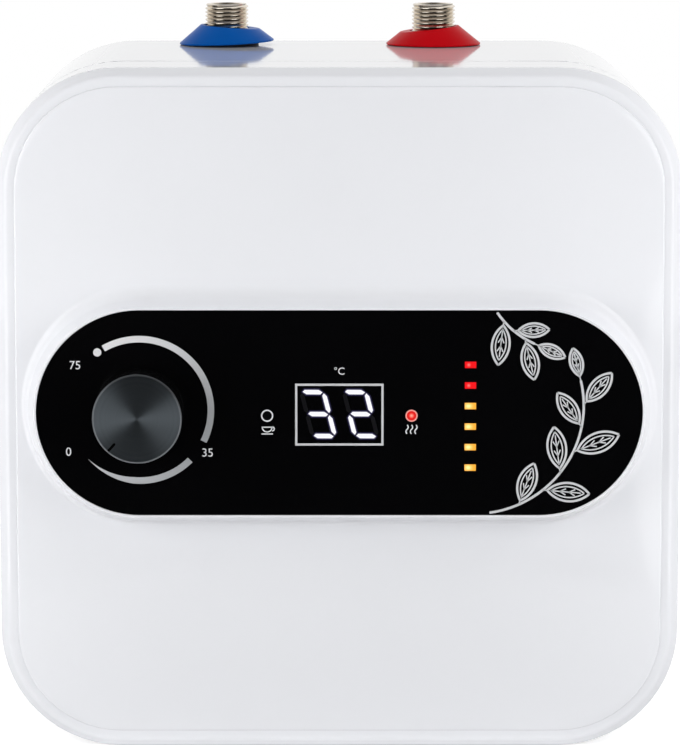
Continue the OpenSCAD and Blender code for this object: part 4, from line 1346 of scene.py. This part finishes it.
    def leaf(self, form: Form, root: Vector, angle: float, length: float) -> None:
        """Draws a leaf's stalk, its double outline, its midrib and its veins.

        Args:
            form: The mesh that gets the leaf.
            root: Where the leaf leaves its stem.
            angle: Direction of the leaf.
            length: Length of the leaf with its stalk.
        """
        base = root + spoke(angle) * self.petiole
        blade = length - self.petiole
        way = spoke(angle) * blade
        side = OUT.cross(way)
        form.stroke(root, base, self.vein_w, self.vein_bow)
        for start, stop, bow, line in self.leaf_lines:
            form.stroke(base + way * start, base + way * stop, line, bow * blade)
        start, stop = self.midrib
        form.stroke(base + way * start, base + way * stop, self.vein_w, self.vein_bow)
        along, across = self.vein_reach
        for share in self.vein_roots:
            fork = base + way * share
            for hand in (-1, 1):
                form.stroke(fork, fork + way * along + side * across * hand, self.vein_w, self.vein_bow)

    def print_sprigs(self) -> None:
        """Prints two leafy sprigs that meet in the panel's right end."""
        form = Form()
        for sprig in self.sprigs:
            heart = self.at(*sprig.centre)
            form.band(heart, sprig.radius, self.stem_w, sprig.start, sprig.stop)
            for angle, lean, length in sprig.leaves:
                self.leaf(form, heart + spoke(angle) * sprig.radius, angle + 90 + lean, length)
        self.press(form, "leaf_sprig", SILVER_INK)


@dataclass
class DigitDisplay:
    """Two digits of seven bars, lit through the display window."""

    reading: tuple[int, ...] = (3, 2)
    pitch: float = 19.1
    digit_w: float = 10.0
    digit_h: float = 20.0
    bar_t: float = 1.9
    rise: float = 0.75
    bar_gap: float = 0.55
    bloom: float = 0.9
    lean: float = -0.25
    lift: float = 0.02

    def __post_init__(self) -> None:
        """Takes the window's place from the frame."""
        self.middle = middle("display_window") + UP * self.rise
        self.middle.y = box("display_window")[0].y

    def bar(self, form: Form, digit_x: float, bar: Bar, spread: float) -> Verts:
        """Draws one bar with pointed ends.

        Args:
            form: The mesh that gets the bar.
            digit_x: Place of the digit's middle.
            bar: Which bar.
            spread: Width added all round.

        Returns:
            The bar's points.
        """
        column, row, upright = bar.value
        run = self.digit_h / 2 if upright else self.digit_w
        tip = self.bar_t / 2 + spread
        stretch = run / 2 - self.bar_gap + spread - tip
        verts = form.disc(Vector(), tip / math.sin(math.tau / HEXAGON), HEXAGON)
        for vert in verts:
            x, z = vert.co.x, vert.co.z
            z = math.copysign(stretch + tip - abs(x), z)
            if not upright:
                x, z = z, x
            x += column * self.digit_w / 2
            z += row * self.digit_h / 4
            vert.co = self.middle + Vector((digit_x + x + self.lean * z, -self.lift, z))
        return verts

    def build(self) -> None:
        """Draws the lit bars with their bloom, and the unlit ones."""
        lit, unlit = Form(), Form()
        glow = lit.bm.verts.layers.float.new(LIT_BAR.layer)
        for place, digit in enumerate(self.reading):
            digit_x = (place - (len(self.reading) - 1) / 2) * self.pitch
            for bar in Bar:
                if bar in UNLIT_BARS[digit]:
                    self.bar(unlit, digit_x, bar, 0.0)
                    continue
                face = self.bar(lit, digit_x, bar, self.bloom)[0].link_faces[0]
                face.normal_update()
                bmesh.ops.inset_region(lit.bm, faces=[face], thickness=self.bloom, use_boundary=True)
                for vert in face.verts:
                    vert[glow] = 1.0
        for form, name, finish in ((lit, "digit_bars_lit", LIT_BAR), (unlit, "digit_bars_unlit", UNLIT_BAR)):
            form.thicken(self.lift)
            form.make(name, finish, Body.CASING, "digit_resin")


# Dial

@dataclass
class Dial:
    """Turned knob with a fine bevel, and the dark pointer let into its face.

    A face of the shell is its side below the lean side_lean and its bevel below the lean bevel_lean,
    where 0 stands upright and 1 lies in the knob's front.
    """

    skin: float = 1.4
    bevel: float = 0.7
    bevel_r: float = 0.15
    foot_r: float = 0.3
    facets: int = 160
    round_cuts: int = 3
    side_lean: float = 0.3
    bevel_lean: float = 0.95
    groove: float = 0.03
    pointer_w: float = 1.15
    pointer_in: float = 15.2
    pointer_out: float = 19.3
    pointer_facets: int = 24
    off_angle: float = 228.0

    def __post_init__(self) -> None:
        """Takes the knob's place from the frame."""
        low, high = box("knob_shell")
        self.radius = (high.z - low.z) / 2
        self.height = high.y - low.y
        self.foot = middle("knob_shell")
        self.foot.y = high.y

    def build(self) -> None:
        """Makes the knob's shell and its pointer."""
        self.build_shell()
        self.build_pointer()

    def build_shell(self) -> None:
        """Turns the knob's shell and gives its face, its side and its bevel their finishes."""
        inner = self.radius - self.skin
        top = self.height - self.groove
        form = Form()
        form.lathe(
            soften([(0, top, 0), (self.radius - self.bevel, top, self.bevel_r),
                    (self.radius, top - self.bevel, self.bevel_r), (self.radius, 0, self.foot_r),
                    (inner, 0, 0), (inner, top - self.skin, 0), (0, top - self.skin, 0)], self.round_cuts),
            self.foot, OUT, self.facets,
        )
        form.settle()
        for face in form.bm.faces:
            lean = abs(face.normal.dot(OUT))
            if lean < self.side_lean:
                face.material_index = 1
            elif lean < self.bevel_lean:
                face.material_index = 2
        # Aluminium spun and dyed dark: a bow tie of light over fine rings
        metal = SpunMetal(
            "spun_dark_aluminium", "#60666B", "#5B6166",
            roughness=0.5, spread=0.015, metallic=1.0, centre=tuple(self.foot),
        )
        trims = [BLACK_ANODISED, CUT_EDGE]
        form.make("turned_knob", metal, Body.KNOB, "spun_aluminium", ["knob_shell"], trims)

    def build_pointer(self) -> None:
        """Lays the pointer in the knob's face, round at its inner end."""
        form = Form()
        face = self.foot + OUT * self.height
        way = spoke(self.off_angle)
        form.stroke(face + way * self.pointer_in, face + way * self.pointer_out, self.pointer_w)
        form.disc(face + way * self.pointer_in, self.pointer_w / 2, self.pointer_facets)
        form.thicken(2 * self.groove)
        form.make("inlaid_pointer", POINTER_BLACK, Body.KNOB, "black_abs", ["knob_pointer"])


# Water connections

class Water(Enum):
    """The two connections, as node prefix, slot, body, collar's high side, its tilt and its finish."""

    COLD = ("cold", "blue_plastic", Body.COLD_COLLAR, -1, 2.3, BLUE_PLASTIC)
    HOT = ("hot", "red_plastic", Body.HOT_COLLAR, 1, 0.0, RED_PLASTIC)


@dataclass
class WaterConnection:
    """A threaded nipple and the loose collar that marks it."""

    water: Water
    # Nipple
    thread_pitch: float = 1.814
    thread_depth: float = 1.1
    thread_low: float = 313.4
    crest: float = 0.25
    turn_steps: int = 48
    bore: float = 7.5
    bore_bevel: float = 0.4
    shank_r: float = 10.18
    shank_bevel: float = 0.5
    runout: float = 0.6
    end_bevel: float = 1.0
    # Collar
    collar_lip: float = 0.7
    lip_r: float = 0.25
    lip_w: float = 0.6
    rim_w: float = 2.4
    rim_step: float = 0.35
    collar_play: float = 0.5
    neck_w: float = 1.0
    cone_h: float = 9.4
    neck_over: float = 3.0
    hollow: float = 2.6
    collar_mid: float = 7.8
    slant: float = 6.5
    top_r: float = 0.3
    round_cuts: int = 3

    def __post_init__(self) -> None:
        """Takes the nipple's and the collar's places from the frame."""
        self.prefix, self.slot, self.body, self.high_side, self.tilt, self.finish = self.water.value
        low, high = box(self.prefix + "_nipple")
        self.thread_r = (high.y - low.y) / 2
        self.axis = middle(self.prefix + "_nipple") * IN_PLAN
        self.low, self.top = low.z, high.z
        low, high = box(self.prefix + "_collar")
        self.foot_r = (high.y - low.y) / 2
        self.rest = low.z

    def build(self) -> None:
        """Makes the nipple and its collar."""
        self.build_nipple()
        self.build_collar()

    def build_nipple(self) -> None:
        """Winds the thread, trims it, and closes it with the bore and the plain shank."""
        form = Form()
        root = self.thread_r - self.thread_depth
        half = self.thread_pitch / 2
        start = self.thread_low - self.thread_pitch
        outline = [(root, 0.0), (self.thread_r, half - self.crest / 2),
                   (self.thread_r, half + self.crest / 2), (root, self.thread_pitch)]
        turns = math.ceil((self.top - start) / self.thread_pitch) + 1
        chain = form.line(outline, self.axis + UP * start, UP, RIGHT)
        bmesh.ops.spin(form.bm, geom=chain, cent=self.axis, axis=UP, angle=math.tau * turns,
                       steps=turns * self.turn_steps, dvec=UP * self.thread_pitch / self.turn_steps)
        form.weld()
        form.cut(self.axis + UP * self.top, UP)
        form.cut(self.axis + UP * self.thread_low, -UP)
        for vert in form.bm.verts:
            side = (vert.co - self.axis) * IN_PLAN
            limit = self.thread_r - max(0.0, vert.co.z - self.top + self.end_bevel)
            if side.length > limit:
                vert.co -= side.normalized() * (side.length - limit)
        lower = form.rims(self.thread_low)
        ring = form.rims(self.top)
        for radius, height in (
            (self.bore + self.bore_bevel, self.top), (self.bore, self.top - self.bore_bevel),
            (self.bore, self.low), (self.shank_r - self.shank_bevel, self.low),
            (self.shank_r, self.low + self.shank_bevel), (self.shank_r, self.thread_low - self.runout),
        ):
            ring = form.grow(ring, self.axis, radius, height)
        bmesh.ops.bridge_loops(form.bm, edges=ring + lower)
        form.make(self.prefix + "_threaded_nipple", NICKEL, Body.CASING, "nickel_plate",
                  [self.prefix + "_nipple"])

    def build_collar(self) -> None:
        """Spins the collar's cone, cuts its top on the slant and sets it as askew as it lies."""
        form = Form()
        bore = self.thread_r + self.collar_play
        neck = bore + self.neck_w
        over = self.cone_h + self.neck_over
        lip = self.foot_r - self.lip_w
        foot = self.axis + UP * self.rest
        form.lathe(
            [*soften([(lip, 0, 0), (self.foot_r, 0, self.lip_r),
                      (self.foot_r, self.collar_lip, self.lip_r), (neck, self.cone_h, 0)], self.round_cuts),
             (neck, over), (bore, over), (bore, self.cone_h - self.hollow),
             (self.foot_r - self.rim_w, self.rim_step), (lip, 0)],
            foot, UP,
        )
        lean = math.radians(self.slant) * self.high_side
        form.cut(foot + UP * self.collar_mid, Vector((-math.sin(lean), 0.0, math.cos(lean))))
        rims = form.rims()
        bmesh.ops.bridge_loops(form.bm, edges=rims)
        bmesh.ops.recalc_face_normals(form.bm, faces=form.bm.faces)
        bmesh.ops.bevel(form.bm, geom=[edge for edge in rims if edge.is_valid], offset=self.top_r,
                        affect="EDGES", segments=self.round_cuts, profile=0.5, material=-1,
                        clamp_overlap=True)
        bmesh.ops.rotate(form.bm, cent=foot - RIGHT * self.foot_r, verts=form.bm.verts,
                         matrix=Matrix.Rotation(-math.radians(self.tilt), 3, "Y"))
        form.make(self.prefix + "_marker_collar", self.finish, self.body, self.slot,
                  [self.prefix + "_collar"])


# Frame nodes

@dataclass
class LampGuides:
    """The lit light guides, whose lamps sit a little aside of their middle."""

    guide_h: float = 2.8
    red_aside: float = -0.8
    amber_aside: float = -0.9

    def __post_init__(self) -> None:
        """Takes the guides' spacing from the two red ones."""
        low, high = box("level_guides_red")
        self.pitch = high.z - low.z - self.guide_h

    def top_lamp(self, node: str, aside: float) -> Point:
        """Gives X and Z of the top lamp behind a row of guides."""
        return (middle(node).x + aside, box(node)[1].z - self.guide_h / 2)

    def finishes(self) -> dict[str, Finish]:
        """Makes the guides' finishes: acrylic in full colour, paler over each lamp.

        Returns:
            Finishes by node.
        """
        status = middle("heating_lamp_guide")
        return {
            "heating_lamp_guide": LampGlow(
                "lit_red_acrylic", "#D01210", "#7A0A0A",
                roughness=0.2, core="#FFCDB4", spot=(status.x, status.z), spot_mm=(1.5, 1.5),
            ),
            "level_guides_red": LampGlow(
                "lit_red_level_acrylic", "#E3131A", "#7A0A0A",
                roughness=0.2, core="#FF8F8A", spot=self.top_lamp("level_guides_red", self.red_aside),
                spot_mm=(1.3, 1.3), pitch_mm=self.pitch,
            ),
            "level_guides_amber": LampGlow(
                "lit_amber_acrylic", "#F0A93C", "#8A5A14",
                roughness=0.2, core="#FFF3B8", spot=self.top_lamp("level_guides_amber", self.amber_aside),
                spot_mm=(3.0, 2.2), pitch_mm=self.pitch,
            ),
        }


def dress_nodes() -> None:
    """Gives every node of the frame its finish, its own or its slot's."""
    own = LampGuides().finishes()
    for row in frame["record"]["subparts"]:
        finish = own.get(row["node"]) or SLOT_FINISHES[row["material_slot"]]
        for slot in frame["nodes"][row["node"]].material_slots:
            slot.material = finish.material()
        log.info("%s: %s", row["node"], finish.name)


# Camera and studio

@dataclass
class Viewpoint:
    """The camera, level with its picture's verticals and looking a little down."""

    place: Place = (0.3, -2027.8, 453.2)
    pitch: float = 8.271
    lens: float = 227.5
    sensor: float = 36.0

    def build(self) -> None:
        """Sets up the scene's camera."""
        lens = bpy.data.cameras.new("viewpoint")
        lens.sensor_fit = "HORIZONTAL"
        lens.sensor_width = self.sensor
        lens.lens = self.lens
        camera = bpy.data.objects.new("viewpoint", lens)
        camera.location = Vector(self.place) * MM
        camera.rotation_euler = (math.radians(90 - self.pitch), 0.0, 0.0)
        bpy.context.scene.collection.objects.link(camera)
        bpy.context.scene.camera = camera


class Reach(Enum):
    """What a lamp shows in: the matt shading of surfaces, or their glossy reflections."""

    MATT = "matt"
    GLOSS = "gloss"


@dataclass(frozen=True)
class Softbox:
    """One soft lamp.

    Attributes:
        name: Name of the lamp.
        place: X, Y and Z of its middle.
        aim: X, Y and Z of the point that it faces.
        size: Width and height.
        watts: Power.
        reach: What it shows in.
    """

    name: str
    place: Place
    aim: Place
    size: Point
    watts: float
    reach: Reach = Reach.MATT

    def build(self) -> None:
        """Hangs the lamp in the scene."""
        lamp = bpy.data.lights.new(self.name, "AREA")
        lamp.shape = "RECTANGLE"
        lamp.size, lamp.size_y = (side * MM for side in self.size)
        lamp.energy = self.watts
        holder = bpy.data.objects.new(self.name, lamp)
        way = Vector(self.aim) - Vector(self.place)
        holder.rotation_euler = way.to_track_quat("-Z", "Y").to_euler()
        holder.location = Vector(self.place) * MM
        holder.visible_camera = False
        holder.visible_diffuse = self.reach is Reach.MATT
        holder.visible_glossy = self.reach is Reach.GLOSS
        bpy.context.scene.collection.objects.link(holder)


# Middles of the object's front and back, and the lamps aimed at them
FACE = (0.0, -100.0, 150.0)
BACK = (0.0, 92.0, 150.0)
LAMPS = (
    Softbox("left_softbox", (-480.0, -430.0, 110.0), FACE, (450.0, 650.0), 3.15),
    Softbox("right_softbox", (480.0, -430.0, 220.0), FACE, (450.0, 650.0), 2.5),
    Softbox("top_softbox", (0.0, -350.0, 1250.0), (0.0, -40.0, 250.0), (1100.0, 400.0), 3.7),
    Softbox("rear_left_softbox", (-320.0, 900.0, 460.0), BACK, (600.0, 900.0), 3.7),
    Softbox("rear_right_softbox", (320.0, 900.0, 460.0), BACK, (600.0, 900.0), 3.7),
    Softbox("edge_strip", (0.0, -101.0, 0.4), (0.0, -101.0, 100.0), (330.0, 13.0), 0.0054),
    Softbox("left_card", (-400.0, -430.0, 105.0), FACE, (400.0, 550.0), 1.4, Reach.GLOSS),
    Softbox("right_card", (370.0, -450.0, 105.0), FACE, (400.0, 550.0), 1.3, Reach.GLOSS),
)


@dataclass
class Studio:
    """A white studio: soft lamps, two cards that show in gloss, a pale floor and a white background."""

    floor_half: float = 1600.0
    floor_front: float = -450.0
    floor_colour: str = "#D4D4D4"
    floor_lift: float = 0.7
    fade_from: float = 350.0
    fade_to: float = 900.0
    fill: float = 0.25
    back_from: float = -0.1
    back_to: float = 0.25
    white: str = "#FFFFFF"

    def build(self) -> None:
        """Lights the object and lays the floor."""
        bpy.context.scene.view_settings.view_transform = "Standard"
        for lamp in LAMPS:
            lamp.build()
        self.build_world()
        self.build_floor()

    def build_world(self) -> None:
        """Makes a background that is white to the eye, and white behind the object in reflections."""
        world = bpy.data.worlds.new("white_studio")
        tree = blank_tree(world)
        ray = add_node(tree, "LightPath").outputs
        rays = {0: ray["Is Glossy Ray"], 1: ray["Is Transmission Ray"]}
        mirror = add_node(tree, "Math", rays, operation="MAXIMUM").outputs[0]
        way = add_node(tree, "TexCoord").outputs["Generated"]
        depth = add_node(tree, "SeparateXYZ", {0: way}).outputs["Y"]
        reach = {"Value": depth, "From Min": self.back_from, "From Max": self.back_to}
        behind = add_node(tree, "MapRange", reach, interpolation_type="SMOOTHSTEP").outputs[0]
        levels = {"Value": mirror, "To Min": self.fill, "To Max": behind}
        level = add_node(tree, "MapRange", levels).outputs[0]
        seen = add_node(tree, "MapRange", {"Value": ray["Is Camera Ray"], "To Min": level}).outputs[0]
        glow = add_node(tree, "Background", {"Color": linear(self.white), "Strength": seen})
        add_node(tree, "OutputWorld", {"Surface": glow.outputs[0]})
        bpy.context.scene.world = world

    def floor_paint(self) -> bpy.types.Material:
        """Mixes a matt pale paint that shows white where no shadow falls on it.

        Returns:
            The floor's material.
        """
        material = bpy.data.materials.new("pale_floor")
        tree = blank_tree(material)
        matt = add_node(tree, "BsdfDiffuse", {"Color": linear(self.floor_colour)}).outputs[0]
        ray = add_node(tree, "LightPath").outputs["Is Camera Ray"]
        place = add_node(tree, "TexCoord").outputs["Object"]
        away = add_node(tree, "VectorMath", {0: place}, operation="LENGTH").outputs["Value"]
        reach = {"From Min": self.fade_from * MM, "From Max": self.fade_to * MM, "To Min": self.floor_lift}
        level = add_node(tree, "MapRange", {"Value": away, **reach}, interpolation_type="SMOOTHSTEP")
        lift = add_node(tree, "Math", {0: ray, 1: level.outputs[0]}, operation="MULTIPLY").outputs[0]
        glow = add_node(tree, "Emission", {"Color": linear(self.white), "Strength": lift}).outputs[0]
        both = add_node(tree, "AddShader", {0: matt, 1: glow}).outputs[0]
        add_node(tree, "OutputMaterial", {"Surface": both})
        return material

    def build_floor(self) -> None:
        """Lays the floor, which ends a little in front of the object."""
        form = Form()
        shape = Matrix.Diagonal((2 * self.floor_half, self.floor_half - self.floor_front, 1.0, 1.0))
        centre = Vector((0.0, (self.floor_half + self.floor_front) / 2, 0.0))
        bmesh.ops.create_grid(form.bm, x_segments=1, y_segments=1, size=0.5,
                              matrix=Matrix.Translation(centre) @ shape)
        floor = form.place("floor", [self.floor_paint()])


def main() -> None:
    """Builds and dresses the heater."""
    logging.basicConfig(level=logging.INFO, format="%(name)s: %(message)s")
    Viewpoint().build()
    Studio().build()
    dress_nodes()
    for assembly in (FrontCover(), PanelPrint(), DigitDisplay(), Dial(),
                     WaterConnection(Water.COLD), WaterConnection(Water.HOT)):
        assembly.build()


if __name__ == "__main__":
    main()
